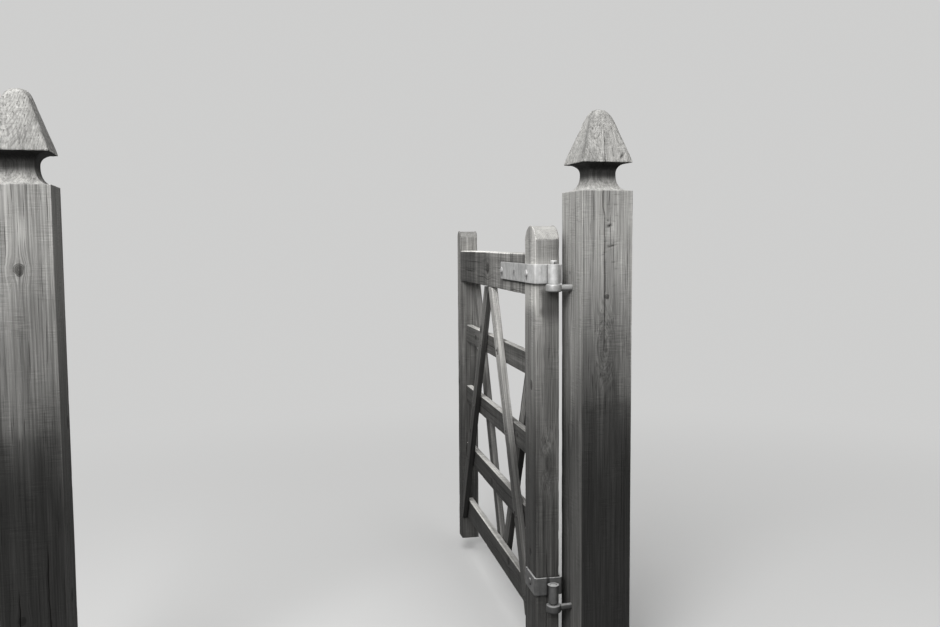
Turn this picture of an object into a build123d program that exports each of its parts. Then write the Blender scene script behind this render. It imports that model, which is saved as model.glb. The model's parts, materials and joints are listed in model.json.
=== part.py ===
from build123d import *
import os
from math import atan2, cos, degrees, hypot, radians

# A wooden garden gate: a five-bar wicket leaf with diamond bracing, hung by two galvanised band hinges
# on a square hanging post with a shaped top, and closing towards a latch post of the same shape.
# Millimetres. The origin is the middle of the hanging post's foot at ground level, +Z is up,
# the opening and the latch post lie towards -X, and the leaf swings open towards +Y.

# The posts
POST_SIDE = 150.0
SHAFT_HEIGHT = 1395.0
NECK_HEIGHT = 75.0
NECK_SIDE = 74.0
CAP_SIDE = 145.0
CAP_LIP = 10.0
CAP_FLANK_HEIGHT = 117.0
CAP_FLANK_SWELL = 4.0
CAP_SHOULDER_SIDE = 52.0
CAP_CROWN_RISE = 22.0

# The leaf's frame
LEAF_LENGTH = 1200.0
LEAF_THICKNESS = 70.0
GROUND_GAP = 51.0
LEAF_HEIGHT = 1252.0
HANGING_STILE_WIDTH = 120.0
HANGING_STILE_RISE = 40.0
LATCH_STILE_WIDTH = 66.0
LATCH_STILE_RISE = 25.0
ARRIS_RADIUS = 2.0

# The rails: the top rail is as thick as the stiles and the others are thin boards let into them
TOP_RAIL_DROP = 79.0
TOP_RAIL_HEIGHT = 120.0
RAIL_THICKNESS = 25.0
TENON_THICKNESS = 25.0
TENON_SHOULDER = 20.0
HANGING_TENON = 80.0
LATCH_TENON = 45.0
JOINT_CLEARANCE = 0.2
MORTISE_END_ROOM = 2.0
# Each lower rail is named with the open space above it and its own height
LOWER_RAILS = (
    ("second_rail", 176.0, 70.0),
    ("third_rail", 176.0, 70.0),
    ("fourth_rail", 163.0, 70.0),
    ("bottom_rail", 161.0, 80.0),
)

# The braces: a pair rising to the middle on the front and a pair falling to the middle on the back
BRACE_WIDTH = 54.0
BRACE_THICKNESS = 22.0

# The hinges
PIN_OUT = 53.0
AXIS_FROM_FRONT = 45.0
AXIS_TO_EDGE = 26.0
PIN_RADIUS = 9.5
PIN_CLEARANCE = 0.15
BAND_THICKNESS = 6.0
BAND_BEND_RADIUS = 7.0
BAND_TIP_RADIUS = 4.0
BARREL_RADIUS = 16.5
BARREL_HEIGHT = 54.0
TOP_BAND_HEIGHT = 54.0
TOP_BAND_DROP = 30.0
TOP_BAND_REACH = 400.0
TOP_BOLT_NEAR = 76.0
TOP_BOLT_FROM_TIP = 17.0
TOP_SPARE_HOLE = 223.0
BOTTOM_BAND_HEIGHT = 50.0
BOTTOM_BAND_ABOVE_RAIL = 33.0
BOTTOM_BAND_REACH = 95.0
BOTTOM_BAND_SLACK = 6.0
BOTTOM_BOLT = 40.0
BOTTOM_BARREL_RADIUS = 14.0
BOTTOM_BARREL_DROP = 18.0
BARREL_LIP = 3.0
HOOK_BOSS_RADIUS = 22.0
HOOK_BOSS_HEIGHT = 22.0
HOOK_BOSS_CHAMFER = 4.0
HOOK_ARM_RADIUS = 9.5
HOOK_ARM_DEPTH = 110.0
HOOK_POINT_LENGTH = 28.0
HOOK_POINT_RADIUS = 1.5
THRUST_CLEARANCE = 0.3
# The top hook alone carries the leaf, and the bottom boss stands this far below its barrel
BOTTOM_HOOK_DROP = 4.0
TOP_PIN_PROUD = 11.0
BOTTOM_PIN_SUNK = 1.0
PIN_CHAMFER = 1.5
COTTER_RADIUS = 2.6
COTTER_FROM_END = 7.0

# The bolts
BOLT_RADIUS = 5.0
BOLT_HOLE_CLEARANCE = 0.3
BOLT_HEAD_RADIUS = 10.0
BOLT_HEAD_HEIGHT = 5.0
BOLT_HEAD_CHAMFER = 3.0
NUT_ACROSS_FLATS = 17.0
NUT_HEIGHT = 8.0
BOLT_TIP = 2.0

# The swing and the way through
REST_DIRECTION = 85.1
LATCH_GAP = 32.0

AXIS_X = -POST_SIDE / 2 - PIN_OUT
LATCH_POST_X = AXIS_X - AXIS_TO_EDGE - LEAF_LENGTH - LATCH_GAP - POST_SIDE / 2

# Places in the leaf's own frame: +X runs from the hinge axis to the latch end, +Y is the leaf's front
FRONT = AXIS_FROM_FRONT
BACK = FRONT - LEAF_THICKNESS
HINGE_EDGE = AXIS_TO_EDGE
HANGING_INNER = HINGE_EDGE + HANGING_STILE_WIDTH
LATCH_EDGE = HINGE_EDGE + LEAF_LENGTH
LATCH_INNER = LATCH_EDGE - LATCH_STILE_WIDTH
LEAF_MIDDLE = (HANGING_INNER + LATCH_INNER) / 2
RAIL_FRONT = FRONT - (LEAF_THICKNESS - RAIL_THICKNESS) / 2
RAIL_BACK = RAIL_FRONT - RAIL_THICKNESS
TENON_FRONT = FRONT - (LEAF_THICKNESS - TENON_THICKNESS) / 2
TOP_BOLT_FAR = TOP_BAND_REACH - TOP_BOLT_FROM_TIP

# Heights, counted up the post and down the leaf
CAP_BASE = SHAFT_HEIGHT + NECK_HEIGHT
CAP_LIP_TOP = CAP_BASE + CAP_LIP
CAP_SHOULDER = CAP_LIP_TOP + CAP_FLANK_HEIGHT
CAP_TOP = CAP_SHOULDER + CAP_CROWN_RISE
STILE_TOP = GROUND_GAP + LEAF_HEIGHT
TOP_RAIL_TOP = STILE_TOP - TOP_RAIL_DROP
TOP_RAIL_BASE = TOP_RAIL_TOP - TOP_RAIL_HEIGHT
BOTTOM_RAIL_BASE = TOP_RAIL_BASE - sum(space + height for _, space, height in LOWER_RAILS)
BOTTOM_RAIL_TOP = BOTTOM_RAIL_BASE + LOWER_RAILS[-1][2]
BOTTOM_RAIL_MIDDLE = (BOTTOM_RAIL_BASE + BOTTOM_RAIL_TOP) / 2
TOP_BAND_BASE = TOP_RAIL_TOP - TOP_BAND_DROP - TOP_BAND_HEIGHT
TOP_BARREL_BASE = TOP_BAND_BASE + (TOP_BAND_HEIGHT - BARREL_HEIGHT) / 2
BOTTOM_BAND_BASE = BOTTOM_RAIL_TOP + BOTTOM_BAND_ABOVE_RAIL
BOTTOM_BARREL_BASE = BOTTOM_BAND_BASE - BOTTOM_BARREL_DROP


def block(x_span, y_span, z_span):
    """A box between the two ends given on each axis."""
    middle = [sum(span) / 2 for span in (x_span, y_span, z_span)]
    return Pos(*middle) * Box(
        abs(x_span[1] - x_span[0]), abs(y_span[1] - y_span[0]), z_span[1] - z_span[0]
    )


def slab(face_sketch, front, thickness):
    """The sketch, drawn with X along the leaf and Y up, as a board behind its front face."""
    plane = Plane(origin=(0, front, 0), x_dir=(1, 0, 0), z_dir=(0, -1, 0))
    return extrude(plane * face_sketch, thickness)


def upright_cylinder(radius, base, height):
    return Pos(0, 0, base + height / 2) * Cylinder(radius, height)


def cross_cylinder(x, z, radius, front, back):
    """A round bar through the leaf's thickness, from its front end to its back end."""
    return Pos(x, (front + back) / 2, z) * Rot(90, 0, 0) * Cylinder(radius, front - back)


def soften(board, direction):
    """Rounds a board's long arrises, which run along the direction."""
    return fillet(board.edges().filter_by(direction), ARRIS_RADIUS)


def head_profile():
    """The outline of a post's shaped top: the hollow neck, a lip and the cap's swelling flanks."""
    half = POST_SIDE / 2
    cap_half = CAP_SIDE / 2
    top_half = CAP_SHOULDER_SIDE / 2
    flank_middle = ((cap_half + top_half) / 2 + CAP_FLANK_SWELL, CAP_LIP_TOP + CAP_FLANK_HEIGHT / 2)
    neck_z = SHAFT_HEIGHT + NECK_HEIGHT / 2
    edges = [Line((-half, SHAFT_HEIGHT), (half, SHAFT_HEIGHT))]
    for side in (1, -1):
        edges += [
            ThreePointArc(
                (side * half, SHAFT_HEIGHT), (side * NECK_SIDE / 2, neck_z), (side * cap_half, CAP_BASE)
            ),
            Line((side * cap_half, CAP_BASE), (side * cap_half, CAP_LIP_TOP)),
            ThreePointArc(
                (side * cap_half, CAP_LIP_TOP),
                (side * flank_middle[0], flank_middle[1]),
                (side * top_half, CAP_SHOULDER),
            ),
        ]
    edges.append(ThreePointArc((top_half, CAP_SHOULDER), (0, CAP_TOP), (-top_half, CAP_SHOULDER)))
    return make_face(edges)


def post():
    """A square post whose head is sawn to the same outline from two sides, so it keeps four arrises."""
    shaft = extrude(RectangleRounded(POST_SIDE, POST_SIDE, ARRIS_RADIUS), SHAFT_HEIGHT)
    one_way = slab(head_profile(), POST_SIDE / 2, POST_SIDE)
    return shaft + (one_way & Rot(0, 0, 90) * one_way)


def hook(boss_top, pin_top):
    """A forged hinge hook driven into the post: a pointed arm, a boss below the barrel and a pin."""
    boss_base = boss_top - HOOK_BOSS_HEIGHT
    pin = upright_cylinder(PIN_RADIUS, boss_base, pin_top - boss_base)
    pin = chamfer(pin.edges().group_by(Axis.Z)[-1], PIN_CHAMFER)
    boss = upright_cylinder(HOOK_BOSS_RADIUS, boss_base, HOOK_BOSS_HEIGHT)
    boss = chamfer(boss.edges().filter_by(GeomType.CIRCLE), HOOK_BOSS_CHAMFER)
    arm_length = PIN_OUT + HOOK_ARM_DEPTH - HOOK_POINT_LENGTH
    arm = Pos(arm_length / 2, 0, 0) * Rot(0, 90, 0) * Cylinder(HOOK_ARM_RADIUS, arm_length)
    point = Cone(HOOK_ARM_RADIUS, HOOK_POINT_RADIUS, HOOK_POINT_LENGTH)
    arm += Pos(arm_length + HOOK_POINT_LENGTH / 2, 0, 0) * Rot(0, 90, 0) * point
    arm_z = boss_base + HOOK_BOSS_HEIGHT / 2
    return Pos(AXIS_X, 0, 0) * (pin + boss + Pos(0, 0, arm_z) * arm), arm_z


def stile(start, width, rise, tenon):
    """An upright with an arched top, and a mortise for each rail in the side given by the tenon's sign."""
    end = start + width
    spring = STILE_TOP - rise
    outline = Polyline((start, spring), (start, GROUND_GAP), (end, GROUND_GAP), (end, spring))
    outline += ThreePointArc((end, spring), ((start + end) / 2, STILE_TOP), (start, spring))
    board = soften(slab(make_face(outline), FRONT, LEAF_THICKNESS), Axis.Z)
    mouth = end if tenon < 0 else start
    deep = mouth + tenon + (MORTISE_END_ROOM if tenon > 0 else -MORTISE_END_ROOM)
    room = JOINT_CLEARANCE
    for base, top, front, thickness in tenon_sections():
        board -= block(
            (mouth, deep), (front + room, front - thickness - room), (base - room, top + room)
        )
    return board


def tenon_sections():
    """The section of each rail's tenon: its lower and upper edge, its front and its thickness."""
    top = (TOP_RAIL_BASE + TENON_SHOULDER, TOP_RAIL_TOP - TENON_SHOULDER, TENON_FRONT, TENON_THICKNESS)
    return [top] + [(base, base + height, RAIL_FRONT, RAIL_THICKNESS) for _, base, height in lower_rails()]


def lower_rails():
    """Each lower rail's name, lower edge and height, counted down from the top rail."""
    found = []
    above = TOP_RAIL_BASE
    for name, space, height in LOWER_RAILS:
        above -= space + height
        found.append((name, above, height))
    return found


def top_rail():
    body = block((HANGING_INNER, LATCH_INNER), (BACK, FRONT), (TOP_RAIL_BASE, TOP_RAIL_TOP))
    body = soften(body, Axis.X)
    base, top, front, thickness = tenon_sections()[0]
    return body + block(
        (HANGING_INNER - HANGING_TENON, LATCH_INNER + LATCH_TENON), (front - thickness, front), (base, top)
    )


def lower_rail(base, height):
    reach = (HANGING_INNER - HANGING_TENON, LATCH_INNER + LATCH_TENON)
    return soften(block(reach, (RAIL_BACK, RAIL_FRONT), (base, base + height)), Axis.X)


def brace_sketch(side, rising):
    """One brace of a pair, cut by the stile, the top rail, the bottom rail's lower edge and its twin."""
    inner = LATCH_INNER if side > 0 else HANGING_INNER
    run = abs(inner - LEAF_MIDDLE)
    fall = TOP_RAIL_BASE - BOTTOM_RAIL_MIDDLE
    half_cut = BRACE_WIDTH / 2 * hypot(run, fall) / fall
    if rising:
        high_point = (LEAF_MIDDLE + side * half_cut, TOP_RAIL_BASE)
        low_point = (inner, BOTTOM_RAIL_MIDDLE)
    else:
        high_point = (inner - side * half_cut, TOP_RAIL_BASE)
        low_point = (LEAF_MIDDLE + side * half_cut, BOTTOM_RAIL_MIDDLE)
    length = hypot(high_point[0] - low_point[0], high_point[1] - low_point[1])
    lean = degrees(atan2(high_point[1] - low_point[1], high_point[0] - low_point[0]))
    middle = [(high_point[i] + low_point[i]) / 2 for i in range(2)]
    strip = Pos(*middle) * Rot(0, 0, lean) * Rectangle(length + 6 * BRACE_WIDTH, BRACE_WIDTH)
    bay_middle = ((inner + LEAF_MIDDLE) / 2, (TOP_RAIL_BASE + BOTTOM_RAIL_BASE) / 2)
    half_bay = Pos(*bay_middle) * Rectangle(run, TOP_RAIL_BASE - BOTTOM_RAIL_BASE)
    return strip & half_bay


def brace(side, rising):
    front = RAIL_FRONT + BRACE_THICKNESS if rising else RAIL_BACK
    return slab(brace_sketch(side, rising), front, BRACE_THICKNESS)


def band(base, height, reach, slack=0.0):
    """A strap bent round the stile's outer edge, slack or tight, with a leg on each of its faces."""
    inner_edge = HINGE_EDGE - slack
    outer_edge = inner_edge - BAND_THICKNESS
    end = HINGE_EDGE + reach
    z_span = (base, base + height)
    outer = block((outer_edge, end), (BACK - BAND_THICKNESS, FRONT + BAND_THICKNESS), z_span)
    bends = outer.edges().filter_by(Axis.Z).group_by(Axis.X)[0]
    outer = fillet(bends, BAND_BEND_RADIUS)
    return outer - block((inner_edge, end + BAND_THICKNESS), (BACK, FRONT), z_span)


def rounded_tips(strap):
    """Rounds the corners at the two free ends of a band."""
    tips = strap.edges().filter_by(Axis.Y).group_by(Axis.X)[-1]
    return fillet(tips, BAND_TIP_RADIUS)


def neck_web(half_width, z_span, slack=0.0):
    """The metal between a barrel and the band behind it."""
    return block((0, HINGE_EDGE - slack - BAND_THICKNESS / 2), (-half_width, half_width), z_span)


def bore(base, height):
    return upright_cylinder(PIN_RADIUS + PIN_CLEARANCE, base - 1, height + 2)


def top_band():
    strap = rounded_tips(band(TOP_BAND_BASE, TOP_BAND_HEIGHT, TOP_BAND_REACH))
    barrel = upright_cylinder(BARREL_RADIUS, TOP_BARREL_BASE, BARREL_HEIGHT)
    web_half = BARREL_RADIUS * cos(radians(45))
    web = neck_web(web_half, (TOP_BAND_BASE, TOP_BAND_BASE + TOP_BAND_HEIGHT))
    whole = strap + barrel + web - bore(TOP_BARREL_BASE, BARREL_HEIGHT)
    for place in (TOP_BOLT_NEAR, TOP_SPARE_HOLE, TOP_BOLT_FAR):
        whole -= bolt_hole(place, TOP_BAND_BASE + TOP_BAND_HEIGHT / 2)
    return whole


def bottom_band():
    strap = band(BOTTOM_BAND_BASE, BOTTOM_BAND_HEIGHT, BOTTOM_BAND_REACH, BOTTOM_BAND_SLACK)
    strap = rounded_tips(strap)
    barrel = upright_cylinder(BOTTOM_BARREL_RADIUS, BOTTOM_BARREL_BASE, BARREL_HEIGHT)
    barrel_top = BOTTOM_BARREL_BASE + BARREL_HEIGHT
    lip = upright_cylinder(BARREL_RADIUS, barrel_top - BARREL_LIP, BARREL_LIP)
    web = neck_web(BAND_THICKNESS, (BOTTOM_BAND_BASE, barrel_top), BOTTOM_BAND_SLACK)
    whole = strap + barrel + lip + web - bore(BOTTOM_BARREL_BASE, BARREL_HEIGHT)
    return whole - bolt_hole(BOTTOM_BOLT, BOTTOM_BAND_BASE + BOTTOM_BAND_HEIGHT / 2)


def bolt_hole(place, z):
    """A hole through the leaf and both legs of a band, at a place counted from the stile's outer edge."""
    out = 2 * BAND_THICKNESS
    radius = BOLT_RADIUS + BOLT_HOLE_CLEARANCE
    return cross_cylinder(HINGE_EDGE + place, z, radius, FRONT + out, BACK - out)


def bolt(place, z):
    """A domed bolt from the front, through band and wood, long enough to pass its nut."""
    x = HINGE_EDGE + place
    face = FRONT + BAND_THICKNESS
    tail = BACK - BAND_THICKNESS - NUT_HEIGHT - BOLT_TIP
    shank = cross_cylinder(x, z, BOLT_RADIUS, face, tail)
    head = cross_cylinder(x, z, BOLT_HEAD_RADIUS, face + BOLT_HEAD_HEIGHT, face)
    rim = head.edges().filter_by(GeomType.CIRCLE).group_by(Axis.Y)[-1]
    return chamfer(rim, BOLT_HEAD_CHAMFER) + shank


def nut(place, z):
    plane = Plane(origin=(HINGE_EDGE + place, BACK - BAND_THICKNESS, z), z_dir=(0, -1, 0))
    hexagon = RegularPolygon(NUT_ACROSS_FLATS / 2, 6, major_radius=False)
    return extrude(plane * (hexagon - Circle(BOLT_RADIUS + BOLT_HOLE_CLEARANCE / 2)), NUT_HEIGHT)


def leaf_pieces():
    """Every piece of the leaf by name, in the leaf's own frame."""
    top_z = TOP_BAND_BASE + TOP_BAND_HEIGHT / 2
    bottom_z = BOTTOM_BAND_BASE + BOTTOM_BAND_HEIGHT / 2
    bolts = (
        ("top_bolt_near", TOP_BOLT_NEAR, top_z),
        ("top_bolt_far", TOP_BOLT_FAR, top_z),
        ("bottom_bolt", BOTTOM_BOLT, bottom_z),
    )
    pieces = {
        "hanging_stile": stile(HINGE_EDGE, HANGING_STILE_WIDTH, HANGING_STILE_RISE, -HANGING_TENON),
        "latch_stile": stile(LATCH_INNER, LATCH_STILE_WIDTH, LATCH_STILE_RISE, LATCH_TENON),
        "top_rail": top_rail(),
    }
    for name, base, height in lower_rails():
        pieces[name] = lower_rail(base, height)
    for name, side, rising in (
        ("front_brace_hinge_side", -1, True),
        ("front_brace_latch_side", 1, True),
        ("back_brace_hinge_side", -1, False),
        ("back_brace_latch_side", 1, False),
    ):
        pieces[name] = brace(side, rising)
    for name, place, z in bolts:
        for wood in ("hanging_stile", "top_rail"):
            pieces[wood] -= bolt_hole(place, z)
        pieces[name] = bolt(place, z)
        pieces[name.replace("bolt", "nut")] = nut(place, z)
    pieces["top_band"] = top_band()
    pieces["bottom_band"] = bottom_band()
    return pieces


def fixed_pieces():
    """The posts and the hooks, with the bores that the hooks' arms are driven into."""
    top_pin_end = TOP_BARREL_BASE + BARREL_HEIGHT + TOP_PIN_PROUD
    top_hook, top_arm_z = hook(TOP_BARREL_BASE - THRUST_CLEARANCE, top_pin_end)
    top_hook -= Pos(AXIS_X, 0, 0) * cross_cylinder(
        0, top_pin_end - COTTER_FROM_END, COTTER_RADIUS, 2 * PIN_RADIUS, -2 * PIN_RADIUS
    )
    bottom_pin_end = BOTTOM_BARREL_BASE + BARREL_HEIGHT - BOTTOM_PIN_SUNK
    bottom_hook, bottom_arm_z = hook(BOTTOM_BARREL_BASE - BOTTOM_HOOK_DROP, bottom_pin_end)
    hanging_post = post()
    bore_radius = HOOK_ARM_RADIUS + JOINT_CLEARANCE
    for arm_z in (top_arm_z, bottom_arm_z):
        seat = Pos(HOOK_ARM_DEPTH / 2 - POST_SIDE / 2, 0, arm_z) * Rot(0, 90, 0)
        hanging_post -= seat * Cylinder(bore_radius, HOOK_ARM_DEPTH + MORTISE_END_ROOM)
    return {
        "hanging_post": hanging_post,
        "latch_post": Pos(LATCH_POST_X, 0, 0) * post(),
        "top_hook": top_hook,
        "bottom_hook": bottom_hook,
    }


def main():
    os.makedirs("parts", exist_ok=True)
    leaf_place = Pos(AXIS_X, 0, 0) * Rot(0, 0, REST_DIRECTION)
    pieces = fixed_pieces()
    for name, piece in leaf_pieces().items():
        pieces[name] = leaf_place * piece
    for name, piece in pieces.items():
        export_step(piece, f"parts/{name}.step")


main()
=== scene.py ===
"""A weathered wooden garden gate, open between its two posts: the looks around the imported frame."""

import json
import random
from collections import namedtuple
from dataclasses import dataclass
from math import ceil, cos, hypot, pi, radians, sin, sqrt

import bpy
import numpy as np
from mathutils import Matrix, Vector


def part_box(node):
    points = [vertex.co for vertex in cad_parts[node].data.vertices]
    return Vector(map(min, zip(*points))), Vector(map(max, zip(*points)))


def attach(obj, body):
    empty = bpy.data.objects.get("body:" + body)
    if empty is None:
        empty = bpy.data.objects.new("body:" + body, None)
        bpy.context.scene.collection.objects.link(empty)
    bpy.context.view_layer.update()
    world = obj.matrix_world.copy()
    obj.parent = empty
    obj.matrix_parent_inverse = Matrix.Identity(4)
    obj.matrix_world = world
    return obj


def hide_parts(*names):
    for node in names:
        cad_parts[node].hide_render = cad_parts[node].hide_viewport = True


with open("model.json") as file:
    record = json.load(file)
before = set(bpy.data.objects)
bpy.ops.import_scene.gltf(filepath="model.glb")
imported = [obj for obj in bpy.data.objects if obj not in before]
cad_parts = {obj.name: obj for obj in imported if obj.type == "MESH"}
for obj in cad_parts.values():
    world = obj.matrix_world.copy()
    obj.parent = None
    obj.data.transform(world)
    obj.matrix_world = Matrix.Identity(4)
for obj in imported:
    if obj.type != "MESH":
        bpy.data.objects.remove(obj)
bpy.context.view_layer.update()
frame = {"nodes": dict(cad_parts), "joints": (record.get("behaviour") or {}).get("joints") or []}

# The frame's own places. The leaf's frame has +X from the hinge axis to the latch end, +Y to its front.
REST_DIRECTION = radians(85.1)
AXIS_X, AXIS_Y, _ = frame["joints"][0]["pos_m"]
PIN_PLACE = Matrix.Translation((AXIS_X, AXIS_Y, 0))
LEAF_PLACE = PIN_PLACE @ Matrix.Rotation(REST_DIRECTION, 4, "Z")
LEAF_INVERSE = LEAF_PLACE.inverted()


def leaf_box(node):
    """The lowest and highest corners of one of the leaf's nodes, in the leaf's frame."""
    corners = np.array([LEAF_INVERSE @ v.co for v in frame["nodes"][node].data.vertices])
    return corners.min(axis=0), corners.max(axis=0)


HANGING_LOW, HANGING_HIGH = leaf_box("hanging_stile")
LATCH_LOW, _ = leaf_box("latch_stile")
TOP_RAIL_LOW, TOP_RAIL_HIGH = leaf_box("top_rail")
FOOT_RAIL_LOW, FOOT_RAIL_HIGH = leaf_box("bottom_rail")
TOP_BAND_LOW, TOP_BAND_HIGH = leaf_box("top_band")
BOTTOM_BAND_LOW, BOTTOM_BAND_HIGH = leaf_box("bottom_band")
LOWER_RAILS = ("second_rail", "third_rail", "fourth_rail", "bottom_rail")


# Noise: value noise on a hashed lattice, the same in each run

HASH_PRIMES = (73856093, 19349663, 83492791)
HASH_SEED = 2654435761
HASH_MIX = 0x45D9F3B
HASH_MASK = 0xFFFFFFFF


def lattice(cell, seed):
    """A fixed number from -1 to 1 for each cell of the lattice."""
    mixed = np.int64(seed * HASH_SEED & HASH_MASK)
    for axis, prime in enumerate(HASH_PRIMES):
        mixed = mixed ^ (cell[..., axis] * prime)
    mixed = mixed & HASH_MASK
    for _ in range(2):
        mixed = (((mixed >> 16) ^ mixed) * HASH_MIX) & HASH_MASK
    return ((mixed >> 16) ^ mixed) / (HASH_MASK / 2) - 1


def noise(points, size, seed):
    """Smooth noise from -1 to 1, with lumps of the given size along each axis."""
    scaled = points / np.asarray(size, float)
    cell = np.floor(scaled).astype(np.int64)
    part = scaled - cell
    part = part**3 * (part * (part * 6 - 15) + 10)
    total = np.zeros(points.shape[:-1])
    for corner in range(8):
        step = np.array([corner & 1, corner >> 1 & 1, corner >> 2 & 1])
        weight = np.prod(np.where(step == 1, part, 1 - part), axis=-1)
        total += weight * lattice(cell + step, seed)
    return total


def face_noise(along, across, size, seed):
    """Noise over a face, with lumps of the given size along and across it."""
    return noise(np.stack([along, across, np.zeros_like(along)], axis=-1), (*size, 1), seed)


def ramp(value, low, high):
    """Rises smoothly from 0 at low to 1 at high."""
    part = np.clip((value - low) / (high - low), 0, 1)
    return part * part * (3 - 2 * part)


def bell(value, width):
    """1 at zero, falling off smoothly to both sides."""
    return np.exp(-((value / width) ** 2))


# Meshes


def make_mesh(name, points, faces, fields=None):
    """A smooth-shaded mesh from points and faces, with its fields as attributes."""
    mesh = bpy.data.meshes.new(name)
    mesh.from_pydata(np.asarray(points).tolist(), [], faces)
    for field, values in (fields or {}).items():
        kind, key = ("FLOAT_VECTOR", "vector") if values.ndim == 2 else ("FLOAT", "value")
        attribute = mesh.attributes.new(field, kind, "POINT")
        attribute.data.foreach_set(key, values.astype(np.float32).ravel())
    mesh.update()
    mesh.shade_smooth()
    return mesh


def add_object(name, data):
    """A new object in the scene."""
    made = bpy.data.objects.new(name, data)
    bpy.context.scene.collection.objects.link(made)
    return made


def show(name, mesh, material, body, node=None):
    """Puts a mesh in the scene as a piece that rides on a body and stands for the node, if one is given."""
    piece = add_object(name, mesh)
    mesh.name = name
    mesh.materials.clear()
    mesh.materials.append(material)
    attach(piece, body)
    if node:
        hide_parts(node)


def ring_faces(rows, count, closed=False):
    """Faces between rows of points, each row a ring. Closed joins the last row to the first."""
    faces = []
    for row in range(rows if closed else rows - 1):
        here, above = row * count, (row + 1) % rows * count
        for k in range(count):
            after = (k + 1) % count
            faces.append((here + k, here + after, above + after, above + k))
    return faces


def end_faces(rows, count):
    """One flat face over the first ring and one over the last."""
    last = (rows - 1) * count
    return [tuple(reversed(range(count))), tuple(range(last, last + count))]


def outward(points, faces):
    """The faces, turned over if they face into the solid."""
    corners = [points[[face[k] for face in faces]] for k in range(4)]
    volume = np.einsum("ij,ij->", np.cross(corners[0], corners[1]), corners[2])
    volume += np.einsum("ij,ij->", np.cross(corners[0], corners[2]), corners[3])
    return [face[::-1] for face in faces] if volume < 0 else faces


def move(points, place):
    """The points carried by a matrix."""
    matrix = np.array(place)
    return points @ matrix[:3, :3].T + matrix[:3, 3]


# Timber: a ring of columns round a board's section is carried along its length

FRONT, RIGHT, REAR, LEFT = range(4)
SIDE_NORMALS = np.array([(0, 1), (1, 0), (0, -1), (-1, 0)], float)
SIDE_RUNS = np.array([(1, 0), (0, -1), (-1, 0), (0, 1)], float)

ARRIS = 0.003
ARRIS_TURN = radians(45)
ARRIS_REACH = 0.006
ARRIS_PALE = 0.18
END_STEPS = (0.0, 0.0005, 0.0013, 0.0026)
END_TONE = 0.82
LEAST_TONE = 0.04
UPWARD = (0.1, 0.85)
DOWNWARD = (0.1, 0.6)
UNDERSIDE_SHADE = 0.65
GRAIN_SHIFT = 0.37
COLUMN_GAP = 0.003

CRACK_COLUMNS = np.array([-1.0, -0.4, 0.0, 0.4, 1.0])
CRACK_DEPTHS = np.array([0.0, 0.8, 1.0, 0.8, 0.0])
CRACK_SHADES = np.array([0.25, 1.0, 1.0, 1.0, 0.25])
CRACK_LEAST = 0.00025
CRACK_CLOSING = 0.3
CRACK_BLEND = 0.02
CRACK_SWAY = 0.0008

SCAR_DEPTH = 0.003
KNOT_LENGTH = 1.3
KNOT_WOBBLE = 0.22
KNOT_RISE = 0.0008
KNOT_DITCH = 0.001
WORN_LEAST = 0.0004
CHIP_DEPTH = 0.0018
RIDGE_HEIGHT = 0.00035
FINE_HEIGHT = 0.0002
WAVE_HEIGHT = 0.00025
WORN_AWAY = 0.0006

# The size of each noise's lumps: along the grain and twice across it, or in the world's X, Y and Z
RIDGE_LUMPS = (0.35, 0.009, 0.009)
FINE_LUMPS = (0.12, 0.0045, 0.0045)
WAVE_LUMPS = (0.45, 0.05, 0.05)
BROAD_STREAK_LUMPS = (0.9, 0.028, 0.028)
FINE_STREAK_LUMPS = (0.16, 0.006, 0.006)
CLOUD_LUMPS = (0.14, 0.06, 0.06)
DAMP_AND_SHADE_LUMPS = (0.12, 0.12, 0.3)
DAMP_AND_SHADE_EDGE_LUMPS = (0.02, 0.02, 0.14)
CHIP_LENGTH = 0.035
SWAY_LENGTH = 0.02
MOTTLE_SIZE = 0.012

# Marks on a face: run is the place along the board, across the place from the face's middle
Crack = namedtuple("Crack", "side path width depth seed open_low open_high", defaults=(False, False))
Knot = namedtuple("Knot", "side run across radius")
Scar = namedtuple("Scar", "side run across length width lean deep", defaults=(0.0, 1.0))
Swell = namedtuple("Swell", "side run across length width rise")


@dataclass
class Board:
    """How one board lies, is weathered, is marked and has light and shade painted on it."""

    name: str
    axes: list
    seed: int
    origin: tuple = (0, 0, 0)
    pith: tuple = (0.02, -0.09)
    tone: float = 1.0
    streaks: float = 1.0
    # How much paler upward faces are: partly sun bleaching, partly painted light from above
    bleach: float = 0.75
    chips: float = 0.45
    wash: float = 0.0
    # Where the wood darkens towards the ground, and how far: partly damp, partly painted shade
    damp_and_shade: tuple = (0.45, 1.25)
    damp_and_shade_tone: float = 0.3
    knots: tuple = ()
    cracks: tuple = ()
    scars: tuple = ()
    swells: tuple = ()
    patches: tuple = ()


class Skin(namedtuple("Skin", "side along place edge flat normal depth shade")):
    """A board's surface, in columns round it and rows along it.

    Each column has its side. Each point has its place along the board and on its side, its distance from
    the arris, its place in the section, its normal, and the depth and shade of a crack.
    """

    def on(self, *sides):
        """True for the columns on the given sides."""
        return np.isin(self.side, sides)[None, :]


def section(width, thickness, spacing):
    """The columns round a section: each one's side, place along it, inset and the normal's turn."""
    columns = []
    for side in range(4):
        flat = (width if side % 2 == 0 else thickness) / 2 - ARRIS
        count = max(2, round(2 * flat / spacing))
        stops = [(-flat, -ARRIS_TURN), (-flat, -ARRIS_TURN / 2)]
        stops += [(place, 0.0) for place in np.linspace(-flat, flat, count + 1)]
        stops.append((flat, ARRIS_TURN / 2))
        columns += [(side, stop + ARRIS * sin(turn), ARRIS * (1 - cos(turn)), turn) for stop, turn in stops]
    side, place, inset, turn = np.array(columns).T
    return side.astype(int), place, inset, turn


def in_section(side, run, out):
    """Places or directions in the section, from their parts along each side and out of it."""
    return run[..., None] * SIDE_RUNS[side] + out[..., None] * SIDE_NORMALS[side]


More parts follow.
